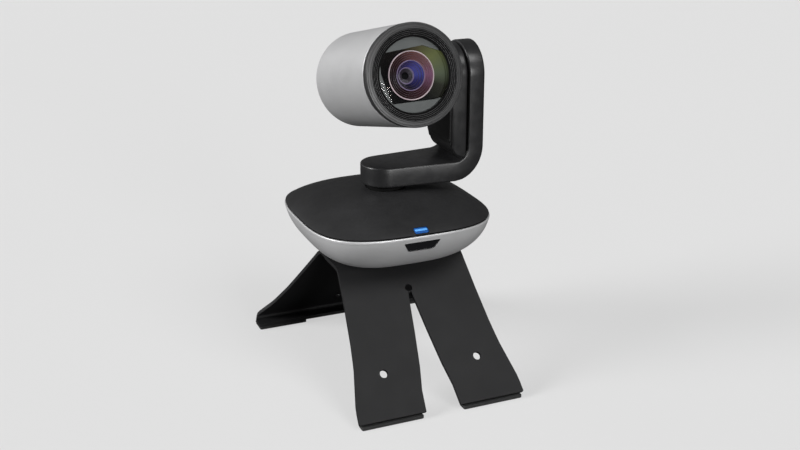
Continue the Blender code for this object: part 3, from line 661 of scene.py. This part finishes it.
def make_tilt_joint():
    """The hub between head and housing: a satin barrel with a stepped collar at each end."""
    low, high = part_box("tilt_hub")
    profile = [
        (0, low.x),
        (8.8 * MM, low.x),
        (10.0 * MM, low.x + 1 * MM),
        (10.0 * MM, HEAD_R + 1.2 * MM),
        (9.2 * MM, HEAD_R + 1.5 * MM),
        (9.2 * MM, BOSS_FACE - 1.3 * MM),
        (10.6 * MM, BOSS_FACE - 1.0 * MM),
        (10.6 * MM, BOSS_FACE + 2.0 * MM),
        (4.0 * MM, BOSS_FACE + 2.0 * MM),
        (4.0 * MM, high.x),
        (0, high.x),
    ]
    shape = soften(profile, 0.25 * MM, closed=False)
    space = PAN_SPACE @ Matrix.Translation((0, 0, TILT.z)) @ TURN_TO_X
    piece("tilt_joint", lathe(shape, 96, wrap=False), BLACK, "head", space, ["tilt_hub"])


def make_pan_joint():
    """The short neck under the arm, sunk in the dome."""
    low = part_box("pan_hub")[0].z
    top = ARM_BOTTOM - 0.05 * MM
    profile = [
        (6 * MM, low),
        (10 * MM, low),
        (10 * MM, SEAM_Z + 12 * MM),
        (13.2 * MM, SEAM_Z + 12.4 * MM),
        (13.2 * MM, top - 1.6 * MM),
        (12.4 * MM, top - 1.3 * MM),
        (12.4 * MM, top),
        (6 * MM, top),
    ]
    # Near black: painted shade in the gap between the dome and the arm.
    piece("pan_joint", lathe(soften(profile, 0.2 * MM), 96), DEEP_BLACK_AND_PAINTED_SHADE, "arm",
          stands_for=["pan_hub", "pan_collar"])


make_band()
make_boss()
make_tilt_joint()
make_pan_joint()


# --- Head ---

HEAD_FRONT = 52.8 * MM
HEAD_REAR = -50.0 * MM
BEZEL_BACK = HEAD_FRONT - 5.0 * MM
LAND_R = 29.3 * MM
GLASS_R = 24.0 * MM
LIP_BACK = HEAD_FRONT - 1.7 * MM


def head_piece(name, bm, finish, stands_for=(), sharp=35):
    return piece(name, bm, finish, "head", HEAD_SPACE, stands_for, sharp)


def make_barrel():
    """Silver sleeve, rounded at the rear, with a shadow gap before the bezel."""
    wall = 2.2 * MM
    profile = [
        (24.3 * MM, HEAD_REAR + 0.3 * MM, 0.25 * MM),
        (HEAD_R, HEAD_REAR, 8.0 * MM),
        (HEAD_R, BEZEL_BACK - 1.0 * MM, 0.35 * MM),
        (HEAD_R - wall, BEZEL_BACK - 1.0 * MM, 0.2 * MM),
        (HEAD_R - wall, HEAD_REAR + wall, 5.8 * MM),
        (24.3 * MM, HEAD_REAR + wall, 0.2 * MM),
    ]
    head_piece("silver_barrel", lathe(soften(profile, 0, steps=12), 160), SILVER,
               ["barrel_sleeve"])
    step = [
        (0, HEAD_REAR + 1.0 * MM),
        (15.5 * MM, HEAD_REAR + 1.0 * MM),
        (16.0 * MM, HEAD_REAR + 0.5 * MM),
        (24.0 * MM, HEAD_REAR + 0.5 * MM),
        (24.0 * MM, HEAD_REAR + 3.0 * MM),
        (0, HEAD_REAR + 3.0 * MM),
    ]
    head_piece("rear_disc", lathe(soften(step, 0.2 * MM, closed=False), wrap=False), MATTE_BLACK,
               ["rear_cap"])


def make_bezel():
    """Black ring: a land that falls outwards a little, with two fine lines, then ridges to the window."""
    land_slope = 0.06
    profile = [
        (HEAD_R - 2.2 * MM, BEZEL_BACK - 1.0 * MM, 0),
        (HEAD_R - 1.1 * MM, BEZEL_BACK - 1.0 * MM, 0),
        (HEAD_R - 1.1 * MM, BEZEL_BACK - 0.1 * MM, 0.1 * MM),
        (HEAD_R, BEZEL_BACK + 0.2 * MM, 0.3 * MM),
        (HEAD_R, HEAD_FRONT - land_slope * (HEAD_R - LAND_R), 1.0 * MM),
    ]
    for line_r in (32.0 * MM, 30.2 * MM):
        half = 0.16 * MM
        level = HEAD_FRONT - land_slope * (line_r - LAND_R)
        profile += [
            (line_r + half, level, 0.03 * MM),
            (line_r, level - 0.2 * MM, 0.03 * MM),
            (line_r - half, level, 0.03 * MM),
        ]
    profile += [
        (LAND_R, HEAD_FRONT, 0.15 * MM),
        (LAND_R, HEAD_FRONT - 1.6 * MM, 0),
        (LAND_R + 1.0 * MM, BEZEL_BACK - 1.0 * MM, 0),
    ]
    head_piece("bezel_ring", lathe(soften(profile, 0, steps=4), 192), MATTE_BLACK,
               ["front_bezel"])
    inner_r = GLASS_R + 0.9 * MM
    outer_r = LAND_R - 0.05 * MM
    funnel_front = HEAD_FRONT - 0.35 * MM
    funnel_drop = 1.0 * MM
    funnel = [
        (outer_r, HEAD_FRONT - 2.5 * MM, 0),
        (outer_r, funnel_front, 0.05 * MM),
        (inner_r, funnel_front - funnel_drop, 0.1 * MM),
        (inner_r, HEAD_FRONT - 2.5 * MM, 0),
    ]
    # Near black under the ridges: painted shade in the grooves between them.
    head_piece("bezel_funnel", lathe(soften(funnel, 0), 192), DEEP_BLACK_AND_PAINTED_SHADE)
    ridges = 4
    loops = bmesh.new()
    for i in range(ridges):
        share = (i + 0.45) / ridges
        radius = outer_r + (inner_r - outer_r) * share
        level = funnel_front - funnel_drop * share
        ridge = [
            (radius + 0.22 * MM, level - 0.3 * MM),
            (radius + 0.14 * MM, level + 0.22 * MM),
            (radius - 0.06 * MM, level + 0.22 * MM),
            (radius - 0.22 * MM, level - 0.3 * MM),
        ]
        mesh = bpy.data.meshes.new("ridge")
        lathe(soften(ridge, 0.08 * MM), 192).to_mesh(mesh)
        loops.from_mesh(mesh)
        bpy.data.meshes.remove(mesh)
    # The ridges are a lighter, glossier copy of the bezel's black: painted highlight on their crests.
    head_piece("bezel_ridges", loops, CREST_PAINTED_HIGHLIGHT)
    # A near-black ring round the window's edge: painted shade in the gap between the bezel and the glass.
    profile = [
        (inner_r + 0.5 * MM, HEAD_FRONT - 1.5 * MM),
        (GLASS_R, HEAD_FRONT - 1.3 * MM),
        (GLASS_R, LIP_BACK),
        (GLASS_R + 2.6 * MM, LIP_BACK),
        (GLASS_R + 2.6 * MM, HEAD_FRONT - 2.6 * MM),
        (LAND_R + 0.5 * MM, HEAD_FRONT - 2.6 * MM),
        (LAND_R + 0.5 * MM, HEAD_FRONT - 1.6 * MM),
    ]
    head_piece("window_rim_shade", lathe(soften(profile, 0.08 * MM), 160), DEEP_BLACK_AND_PAINTED_SHADE)


make_barrel()
make_bezel()


# --- Optics ---

WINDOW_FRONT = HEAD_FRONT - 2.0 * MM
MASK_FRONT = HEAD_FRONT - 3.4 * MM


def clear_film(name, color, shine, roughness):
    """Clear glass: see-through with a Fresnel sheen, so light reaches what is behind it."""
    mat = bpy.data.materials.new(name)
    mat.use_nodes = True
    nodes, links = mat.node_tree.nodes, mat.node_tree.links
    nodes.remove(nodes["Principled BSDF"])
    see = nodes.new("ShaderNodeBsdfTransparent")
    see.inputs["Color"].default_value = (*color, 1.0)
    gloss = nodes.new("ShaderNodeBsdfGlossy")
    gloss.inputs["Roughness"].default_value = roughness
    fresnel = nodes.new("ShaderNodeFresnel")
    fresnel.inputs["IOR"].default_value = shine
    mix = nodes.new("ShaderNodeMixShader")
    links.new(fresnel.outputs["Fac"], mix.inputs["Fac"])
    links.new(see.outputs["BSDF"], mix.inputs[1])
    links.new(gloss.outputs["BSDF"], mix.inputs[2])
    links.new(mix.outputs["Shader"], nodes["Material Output"].inputs["Surface"])
    return mat


def painted_reflection_coat(name, roughness, glow, stops):
    """A lens surface with painted reflection: it shows and glows a colour that changes round the lens, in
    place of light off its coatings.

    Stops are (share of a turn from the head's left, red, green, blue).
    """
    finish = Finish(name, stops[0][1:], roughness, **{"Specular IOR Level": 0.05})
    inverse = finish.nodes.new("ShaderNodeMapping")
    inverse.vector_type = "TEXTURE"
    inverse.inputs["Location"].default_value = HEAD_SPACE.to_translation()
    inverse.inputs["Rotation"].default_value = HEAD_SPACE.to_euler()
    finish.link(finish.coordinates, inverse, "Vector")
    turn = finish.nodes.new("ShaderNodeTexGradient")
    turn.gradient_type = "RADIAL"
    finish.link(inverse.outputs["Vector"], turn, "Vector")
    ramp = finish.nodes.new("ShaderNodeValToRGB")
    elements = ramp.color_ramp.elements
    for i, (share, *color) in enumerate(stops):
        stop = elements[i] if i < 2 else elements.new(share)
        stop.position = share
        stop.color = (*color, 1.0)
    finish.link(turn.outputs["Fac"], ramp, "Fac")
    finish.link(ramp.outputs["Color"], finish.shader, "Base Color")
    # The same colours glow: painted light, though the lens is no lamp.
    finish.link(ramp.outputs["Color"], finish.shader, "Emission Color")
    finish.shader.inputs["Emission Strength"].default_value = glow
    return finish.grain(400, 2e-6).material


def painted_glint_ring(name, color, other, scale, shine, metallic, glow_color, glow):
    """The finish of a narrow ring in the lens, with a faint glow: painted highlight for the light the ring
    catches. Shine is a roughness range.
    """
    light = {"Emission Color": (*glow_color, 1), "Emission Strength": glow}
    finish = Finish(name, color, shine[1], metallic, **light)
    return finish.drift(other, scale).polish(*shine, 400).grain(1500, 3e-6).material


WINDOW_GLASS = clear_film("window_glass", (0.97, 0.98, 0.98), 1.12, 0.04)
ELEMENT_GLASS = clear_film("element_glass", (0.96, 0.95, 0.98), 1.05, 0.08)
PLATE = plastic("mask_plate", (0.045, 0.047, 0.046), 0.45, 1500, 4e-6)
# Lens rims: a lighter colour with a faint glow, painted highlight.
RIM_PAINTED_GLINT = painted_glint_ring("retaining_rim_painted_glint", (0.52, 0.42, 0.44), (0.36, 0.28, 0.31), 60, (0.35, 0.45),
               0.2, (0.75, 0.6, 0.62), 0.2)
FAINT_RIM_PAINTED_GLINT = painted_glint_ring("faint_rim_painted_glint", (0.16, 0.12, 0.17), (0.10, 0.08, 0.13), 220, (0.3, 0.4),
                     0.2, (0.22, 0.18, 0.28), 0.3)
DIM_RIM_PAINTED_GLINT = painted_glint_ring("dim_rim_painted_glint", (0.03, 0.018, 0.02), (0.02, 0.012, 0.014), 220, (0.3, 0.4),
                   0.1, (0.10, 0.06, 0.07), 0.1)
# Lens baffles and surround: painted reflection and glow, coloured and bright round part of the lens and
# dark round the rest.
WARM_PAINTED_REFLECTION = painted_reflection_coat("warm_baffle_painted_reflection", 0.4, 0.5, [
    (0.0, 0.003, 0.0015, 0.002),
    (0.20, 0.010, 0.003, 0.0025),
    (0.36, 0.030, 0.010, 0.013),
    (0.5, 0.12, 0.05, 0.085),
    (0.60, 0.10, 0.045, 0.045),
    (0.72, 0.075, 0.03, 0.027),
    (0.84, 0.020, 0.007, 0.007),
    (1.0, 0.003, 0.0015, 0.002),
])
VIOLET_PAINTED_REFLECTION = painted_reflection_coat("violet_baffle_painted_reflection", 0.35, 0.8, [
    (0.0, 0.003, 0.002, 0.004),
    (0.25, 0.005, 0.004, 0.009),
    (0.42, 0.022, 0.02, 0.075),
    (0.5, 0.04, 0.045, 0.17),
    (0.62, 0.045, 0.045, 0.16),
    (0.76, 0.018, 0.014, 0.055),
    (1.0, 0.003, 0.002, 0.004),
])
OLIVE_PAINTED_REFLECTION = painted_reflection_coat("surround_painted_reflection", 0.5, 0.8, [
    (0.0, 0.001, 0.001, 0.001),
    (0.34, 0.002, 0.002, 0.002),
    (0.44, 0.010, 0.010, 0.007),
    (0.5, 0.040, 0.048, 0.030),
    (0.60, 0.060, 0.066, 0.024),
    (0.70, 0.035, 0.030, 0.016),
    (0.80, 0.004, 0.003, 0.003),
    (1.0, 0.001, 0.001, 0.001),
])
DUSK = plastic("pupil_wall", (0.020, 0.014, 0.018), 0.4)


def in_lens(points):
    """(radius, depth behind the bezel's face) in millimetres, turned into (radius, height) in metres."""
    return [(radius * MM, HEAD_FRONT - depth * MM) for radius, depth in points]


def tube_of(name, loop, finish, stands_for=(), sides=128):
    """A ring in the lens from a closed loop of (radius, depth) points."""
    return head_piece(name, lathe(soften(in_lens(loop), 0.08 * MM), sides), finish, stands_for)


def stepped(outer_r, outer_depth, inner_r, inner_depth, steps):
    """A funnel's wall in fine steps, closed behind."""
    loop = []
    for i in range(steps):
        share, after = i / steps, (i + 1) / steps
        radius = outer_r + (inner_r - outer_r) * share
        next_r = outer_r + (inner_r - outer_r) * after
        depth = outer_depth + (inner_depth - outer_depth) * share
        next_depth = outer_depth + (inner_depth - outer_depth) * after
        loop += [(radius, depth), (next_r + 0.25 * (radius - next_r), depth + 0.3 * (next_depth - depth))]
    loop += [(inner_r, inner_depth), (inner_r, inner_depth + 0.8), (outer_r, outer_depth + 1.2)]
    return loop


def disc_of(front, rim_round):
    """A round plate 1 mm thick with its front face at a height along the lens."""
    radius = 26 * MM
    corners = [(0, front - 1 * MM), (radius, front - 1 * MM), (radius, front), (0, front)]
    return lathe(soften(corners, rim_round, closed=False), wrap=False)


def make_optics():
    """The window, the mask with its opening, and the lens behind it, ring by ring."""
    head_piece("clear_window", disc_of(WINDOW_FRONT, 0.2 * MM), WINDOW_GLASS,
               ["front_window"])
    mask = head_piece("mask_frame", disc_of(MASK_FRONT, 0), PLATE, ["lens_mask"])
    opening = [(-20.6, 15.2), (-22.0, 9.0), (-22.0, 2.5), (-19.0, -8.5), (-15.8, -17.2),
               (13.0, -16.4), (19.0, -15.6), (25.2, -6.0), (25.2, 12.0), (8.0, 18.4)]
    corners = [(x * MM, y * MM) for x, y in opening]
    carve(mask, slab(soften(corners, 1.5 * MM, steps=6), 40 * MM, 60 * MM), HEAD_SPACE)
    tube_of("lens_tube", [(20, 60), (20, 7.6), (15.9, 7.4), (15.9, 8.6), (17, 9.5), (17, 60)],
            DEEP_BLACK_AND_PAINTED_SHADE, ["lens_barrel"])
    tube_of("surround", [(26.0, 5.2), (15.9, 7.2), (15.9, 7.6), (26.0, 7.6)], OLIVE_PAINTED_REFLECTION)
    tube_of("outer_rim", [(15.8, 6.3), (15.5, 6.15), (15.2, 6.4), (15.2, 7.2), (15.8, 7.2)],
            RIM_PAINTED_GLINT, sides=160)
    fine_rings = ((13.9, 6.7), (12.5, 6.9), (11.2, 7.1), (8.3, 9.2), (7.1, 11.4))
    for number, (radius, depth) in enumerate(fine_rings):
        line = [(radius + 0.16, depth + 0.3), (radius + 0.1, depth)]
        line += [(radius - 0.1, depth), (radius - 0.16, depth + 0.3)]
        tube_of(f"coating_ring_{number}", line, DIM_RIM_PAINTED_GLINT)
    tube_of("outer_baffle", stepped(15.0, 6.7, 9.8, 7.6, 5), WARM_PAINTED_REFLECTION)
    tube_of("middle_rim", [(9.95, 7.5), (9.55, 7.3), (9.2, 7.6), (9.5, 8.2)], FAINT_RIM_PAINTED_GLINT)
    tube_of("inner_baffle", stepped(9.2, 8.0, 5.5, 15.2, 5), VIOLET_PAINTED_REFLECTION)
    tube_of("inner_rim", [(5.6, 15.3), (5.2, 15.1), (4.8, 15.4), (5.2, 15.9)], FAINT_RIM_PAINTED_GLINT)
    tube_of("pupil_wall", stepped(4.8, 15.6, 2.4, 17.4, 3), DUSK)
    pupil = in_lens([(0, 17.8), (2.6, 17.4), (2.6, 18.3), (0, 18.6)])
    head_piece("pupil", lathe(pupil, 96, wrap=False), DEEP_BLACK_AND_PAINTED_SHADE)
    edge = [(23.9, 4.4), (23.6, 4.2), (23.2, 4.5), (23.5, 5.0)]
    tube_of("surround_edge", edge, OLIVE_PAINTED_REFLECTION, sides=160)
    crown = in_lens([(0, 4.6), (4, 4.7), (7.5, 5.0), (10.5, 5.5), (13, 6.1), (15.0, 6.75),
                     (15.0, 7.1), (10.5, 6.0), (0, 5.2)])
    head_piece("front_element", lathe(crown, wrap=False), ELEMENT_GLASS,
               ["front_lens"], 60)


make_optics()


# --- Stand ---

SHEET = 2.5 * MM
STAND_LOW, STAND_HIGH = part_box("stand_bracket")
PAD_TOP = STAND_LOW.z
FRONT_WIDTHS = ((83, 46), (60, 48.4), (42, 50.8), (30, 53), (18, 56.6), (10, 59), (0, 59.8))
REAR_WIDTHS = ((83, 45), (61, 51), (39, 57.5), (22, 64.5), (12, 71.5), (4, 76.5), (0, 77))
SLIT = ((54, 2.6), (42, 4.8), (24, 8.2), (12, 11.4), (2, 12.6))
EYE_Z, EYE_R = 65.2 * MM, 2.6 * MM
LEG_HOLE_X, LEG_HOLE_Z, LEG_HOLE_R = 34.2 * MM, 24.3 * MM, 2.8 * MM
REAR_HOLE_X, REAR_HOLE_RUN, REAR_HOLE_R = 12.0 * MM, 26 * MM, 2.2 * MM
SCREW_HOLE_R = 3.6 * MM
GRID = 4.1 * MM


def read_width(table, z):
    """Half-width in metres at height z, along straight stretches between heights in millimetres."""
    for (high, wide_high), (low, wide_low) in zip(table, table[1:]):
        if z >= low * MM:
            share = (z / MM - low) / (high - low)
            return (wide_low + share * (wide_high - wide_low)) * MM
    return table[-1][1] * MM


def sheet_path():
    """The sheet's inner face from front toes to rear flange, as (y, z) points at most 2 mm apart."""
    top = STAND_HIGH.z - SHEET
    corners = [
        (-99.2 * MM, PAD_TOP, 0),
        (-89.2 * MM, 13 * MM, 9 * MM),
        (-25.3 * MM, top, 7 * MM),
        (11 * MM, top, 7 * MM),
        (83 * MM, PAD_TOP + SHEET, 2 * MM),
        (70 * MM, PAD_TOP + SHEET, 0),
    ]
    rough = [Vector(point) for point in soften(corners, 8 * MM, closed=False, steps=10)]
    path = [rough[0]]
    for start, end in zip(rough, rough[1:]):
        parts = max(1, math.ceil((end - start).length / (2.0 * MM)))
        path += [start.lerp(end, i / parts) for i in range(1, parts + 1)]
    return path


def runs_of(path):
    runs = [0.0]
    for start, end in zip(path, path[1:]):
        runs.append(runs[-1] + (end - start).length)
    return runs


def run_at(path, runs, y=None, z=None):
    """The run at which the sheet, followed from the front, reaches a distance y or a height z."""
    for point, run in zip(path, runs):
        if (y is not None and point.x >= y) or (z is not None and point.y >= z):
            return run
    return runs[-1]


def inside(point, loop):
    crossings = False
    x, y = point
    for (x0, y0), (x1, y1) in zip(loop, loop[1:] + loop[:1]):
        if (y0 > y) != (y1 > y) and x < (x1 - x0) * (y - y0) / (y1 - y0) + x0:
            crossings = not crossings
    return crossings


def dense(loop, longest):
    points = []
    for start, end in zip(loop, loop[1:] + loop[:1]):
        a, b = Vector(start), Vector(end)
        parts = max(1, math.ceil((b - a).length / longest))
        points += [tuple(a.lerp(b, i / parts)) for i in range(parts)]
    return points


def sheet_loops(path, runs):
    """The flat sheet's outline with its slit, and its holes, as (x, run) loops."""
    right = []
    for point, run in zip(path, runs):
        table = FRONT_WIDTHS if point.x < 0 else REAR_WIDTHS
        right.append((read_width(table, point.y), run))
    right = [right[0]] + right[1:-1:3] + [right[-1]]
    left = [(-x, run) for x, run in reversed(right)]
    rounded = (0, len(right) - 1, len(right), 2 * len(right) - 1)
    outline = soften([(x, run, 1.2 * MM if i in rounded else 0) for i, (x, run) in enumerate(right + left)],
                     0, steps=4)
    slit = [(half * MM, run_at(path, runs, z=z * MM)) for z, half in SLIT]
    slit[-1] = (slit[-1][0], 0.0)
    left_slit = [(-x, run) for x, run in reversed(slit)]
    outline += soften([(x, run, 0.8 * MM if i == 0 else 0) for i, (x, run) in enumerate(left_slit)],
                      0, closed=False)
    neck = run_at(path, runs, z=EYE_Z)
    turns = [math.radians(-155 + 310 * i / 28) for i in range(29)]
    outline += [(EYE_R * math.sin(a), neck + EYE_R * math.cos(a)) for a in turns]
    outline += slit
    leg_run = run_at(path, runs, z=LEG_HOLE_Z)
    rear_run = runs[-1] - REAR_HOLE_RUN
    holes = [arc((side * LEG_HOLE_X, leg_run), LEG_HOLE_R, 0, 352.5, 47) for side in (-1, 1)]
    holes += [arc((side * REAR_HOLE_X, rear_run), REAR_HOLE_R, 0, 350, 35) for side in (-1, 1)]
    holes.append(arc((0, run_at(path, runs, y=0.0)), SCREW_HOLE_R, 0, 350, 35))
    return outline, holes


def bend_point(spot, path, runs):
    """Where a flat (x, run) spot lands on the bent path."""
    x, run = spot
    i = max(0, min(len(runs) - 2, next((k for k, r in enumerate(runs) if r > run), len(runs)) - 1))
    share = (run - runs[i]) / (runs[i + 1] - runs[i])
    place = path[i].lerp(path[i + 1], share)
    return (x, place.x, place.y)


def make_sheet():
    """The bent sheet: cut flat with its slit and holes, bent, then given thickness and broken edges."""
    path = sheet_path()
    runs = runs_of(path)
    outline, holes = sheet_loops(path, runs)
    outline = dense(outline, 3 * MM)
    points = [Vector(point) for point in outline]
    edges = [(i, (i + 1) % len(points)) for i in range(len(points))]
    for hole in holes:
        start = len(points)
        points += [Vector(point) for point in hole]
        edges += [(start + i, start + (i + 1) % len(hole)) for i in range(len(hole))]
    border = list(points)
    for run in runs[1:-1]:
        for column in range(-19, 20):
            spot = Vector((column * GRID, run))
            near = min((spot - other).length for other in border)
            if near > 1.1 * MM and inside(spot, outline):
                points.append(spot)
    spots, _, faces = delaunay_2d_cdt(points, edges, [], 0, 1e-7)[:3]
    bm = bmesh.new()
    verts = [bm.verts.new(bend_point(spot, path, runs)) for spot in spots]
    for face in faces:
        middle = sum((spots[i] for i in face), Vector((0, 0))) / len(face)
        if inside(middle, outline) and not any(inside(middle, hole) for hole in holes):
            bm.faces.new([verts[i] for i in face])
    bmesh.ops.delete(bm, geom=[v for v in bm.verts if not v.link_faces], context="VERTS")
    sheet = piece("stand_sheet", bm, POWDER, "stand", stands_for=["stand_bracket"],
                  sharp=180)
    thick = sheet.modifiers.new("thickness", "SOLIDIFY")
    thick.thickness = SHEET
    thick.offset = 1.0
    thick.use_even_offset = True
    broken = sheet.modifiers.new("edges", "BEVEL")
    broken.width = 0.35 * MM
    broken.segments = 2
    broken.limit_method = "ANGLE"
    broken.angle_limit = math.radians(50)
    broken.harden_normals = True


def make_pads():
    for name in ("front_pad_left", "front_pad_right", "rear_pad_left", "rear_pad_right"):
        low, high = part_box(name)
        outline = soften(oblong(low.x, high.x, low.y, high.y), 1.0 * MM, steps=5)
        piece(f"{name}_rubber", slab(outline, low.z, high.z, 0.35 * MM), RUBBER, "stand",
              Matrix.Identity(4), [name])


make_sheet()
make_pads()


# --- Everything that stays as the CAD has it ---

KEPT = (
    (BLACK, ("bottom_plate", "main_processor", "pan_carrier")),
    (RUBBER, ("foot_ring",)),
    (BRASS, ("tripod_insert", "power_pin", "pan_pinion", "tilt_pinion")),
    (STEEL, ("thumb_screw", "power_socket", "data_socket", "pan_bearing", "pan_motor", "tilt_motor",
             "tilt_bearing", "case_screw_1", "case_screw_2", "case_screw_3", "case_screw_4")),
    (DEEP_BLACK_AND_PAINTED_SHADE, ("ir_receiver", "iris_ring")),
    (BOARD, ("led_board", "main_board", "sensor_board", "head_board")),
    (NYLON, ("pan_gear", "tilt_gear")),
    (SMOKED, ("image_sensor",)),
    (VIOLET_PAINTED_REFLECTION, ("zoom_group", "focus_group")),
)
for finish, names in KEPT:
    for name in names:
        materials = frame["nodes"][name].data.materials
        materials.clear()
        materials.append(finish)


# --- Stage ---

FLOOR_HALF = 6.0
FLOOR_DROP = 0.2 * MM
FLOOR_TONE = 0.18
FLOOR_GLOW = 0.55
LENS_MM = 51.5
SENSOR_MM = 36
CAMERA_PLACE = (-0.2867, -0.6953, 0.3771)
CAMERA_PITCH_DEG = 69.89
CAMERA_YAW_DEG = -22.92
SUNS = (
    ("front_key", (-0.30, 0.62, -0.85), 26, 1.3),
    ("left_key", (0.85, -0.10, -0.40), 26, 4.2),
    ("back_key", (0.55, -0.80, -0.34), 30, 0.2),
    ("front_fill", (-0.06, 1.0, -0.09), 20, 2.6),
)


def make_floor():
    """A pale sheet that glows, so the shadow on it stays soft. It doesn't light the object."""
    bm = bmesh.new()
    bmesh.ops.create_grid(bm, x_segments=1, y_segments=1, size=FLOOR_HALF)
    floor = bpy.data.objects.new("floor", to_mesh("floor", bm, Matrix.Translation((0, 0, -FLOOR_DROP))))
    bpy.context.scene.collection.objects.link(floor)
    glow = {"Emission Color": (1.0,) * 4, "Emission Strength": FLOOR_GLOW, "Specular IOR Level": 0.0}
    finish = Finish("pale_floor", (FLOOR_TONE,) * 3, 1.0, **glow).polish(0.95, 1.0, 40)
    floor.data.materials.append(finish.material)
    floor.visible_diffuse = False
    floor.visible_glossy = False


def make_sun(name, direction, spread_deg, strength):
    data = bpy.data.lights.new(name, "SUN")
    data.angle = math.radians(spread_deg)
    data.energy = strength
    light = bpy.data.objects.new(name, data)
    light.rotation_euler = Vector(direction).to_track_quat("-Z", "Y").to_euler()
    bpy.context.scene.collection.objects.link(light)


def make_world(below, level, above):
    """A studio with one grey below the horizon, one just above it and one overhead."""
    world = bpy.data.worlds.new("studio")
    world.use_nodes = True
    nodes, links = world.node_tree.nodes, world.node_tree.links
    direction = nodes.new("ShaderNodeTexCoord")
    split = nodes.new("ShaderNodeSeparateXYZ")
    links.new(direction.outputs["Generated"], split.inputs["Vector"])
    height = nodes.new("ShaderNodeMapRange")
    height.inputs["From Min"].default_value = -1.0
    links.new(split.outputs["Z"], height.inputs["Value"])
    ramp = nodes.new("ShaderNodeValToRGB")
    links.new(height.outputs["Result"], ramp.inputs["Fac"])
    elements = ramp.color_ramp.elements
    elements[0].position = 0.35
    elements[0].color = (below, below, below, 1.0)
    elements[1].position = 0.85
    elements[1].color = (above, above, above, 1.0)
    elements.new(0.55).color = (level, level, level, 1.0)
    links.new(ramp.outputs["Color"], nodes["Background"].inputs["Color"])
    bpy.context.scene.world = world


def make_camera():
    data = bpy.data.cameras.new("camera")
    data.lens = LENS_MM
    data.sensor_width = SENSOR_MM
    camera = bpy.data.objects.new("camera", data)
    camera.location = CAMERA_PLACE
    camera.rotation_euler = (math.radians(CAMERA_PITCH_DEG), 0, math.radians(CAMERA_YAW_DEG))
    bpy.context.scene.collection.objects.link(camera)
    bpy.context.scene.camera = camera


make_floor()
make_world(0.05, 0.13, 0.12)
for sun in SUNS:
    make_sun(*sun)
make_camera()
bpy.context.scene.view_settings.view_transform = "Standard"
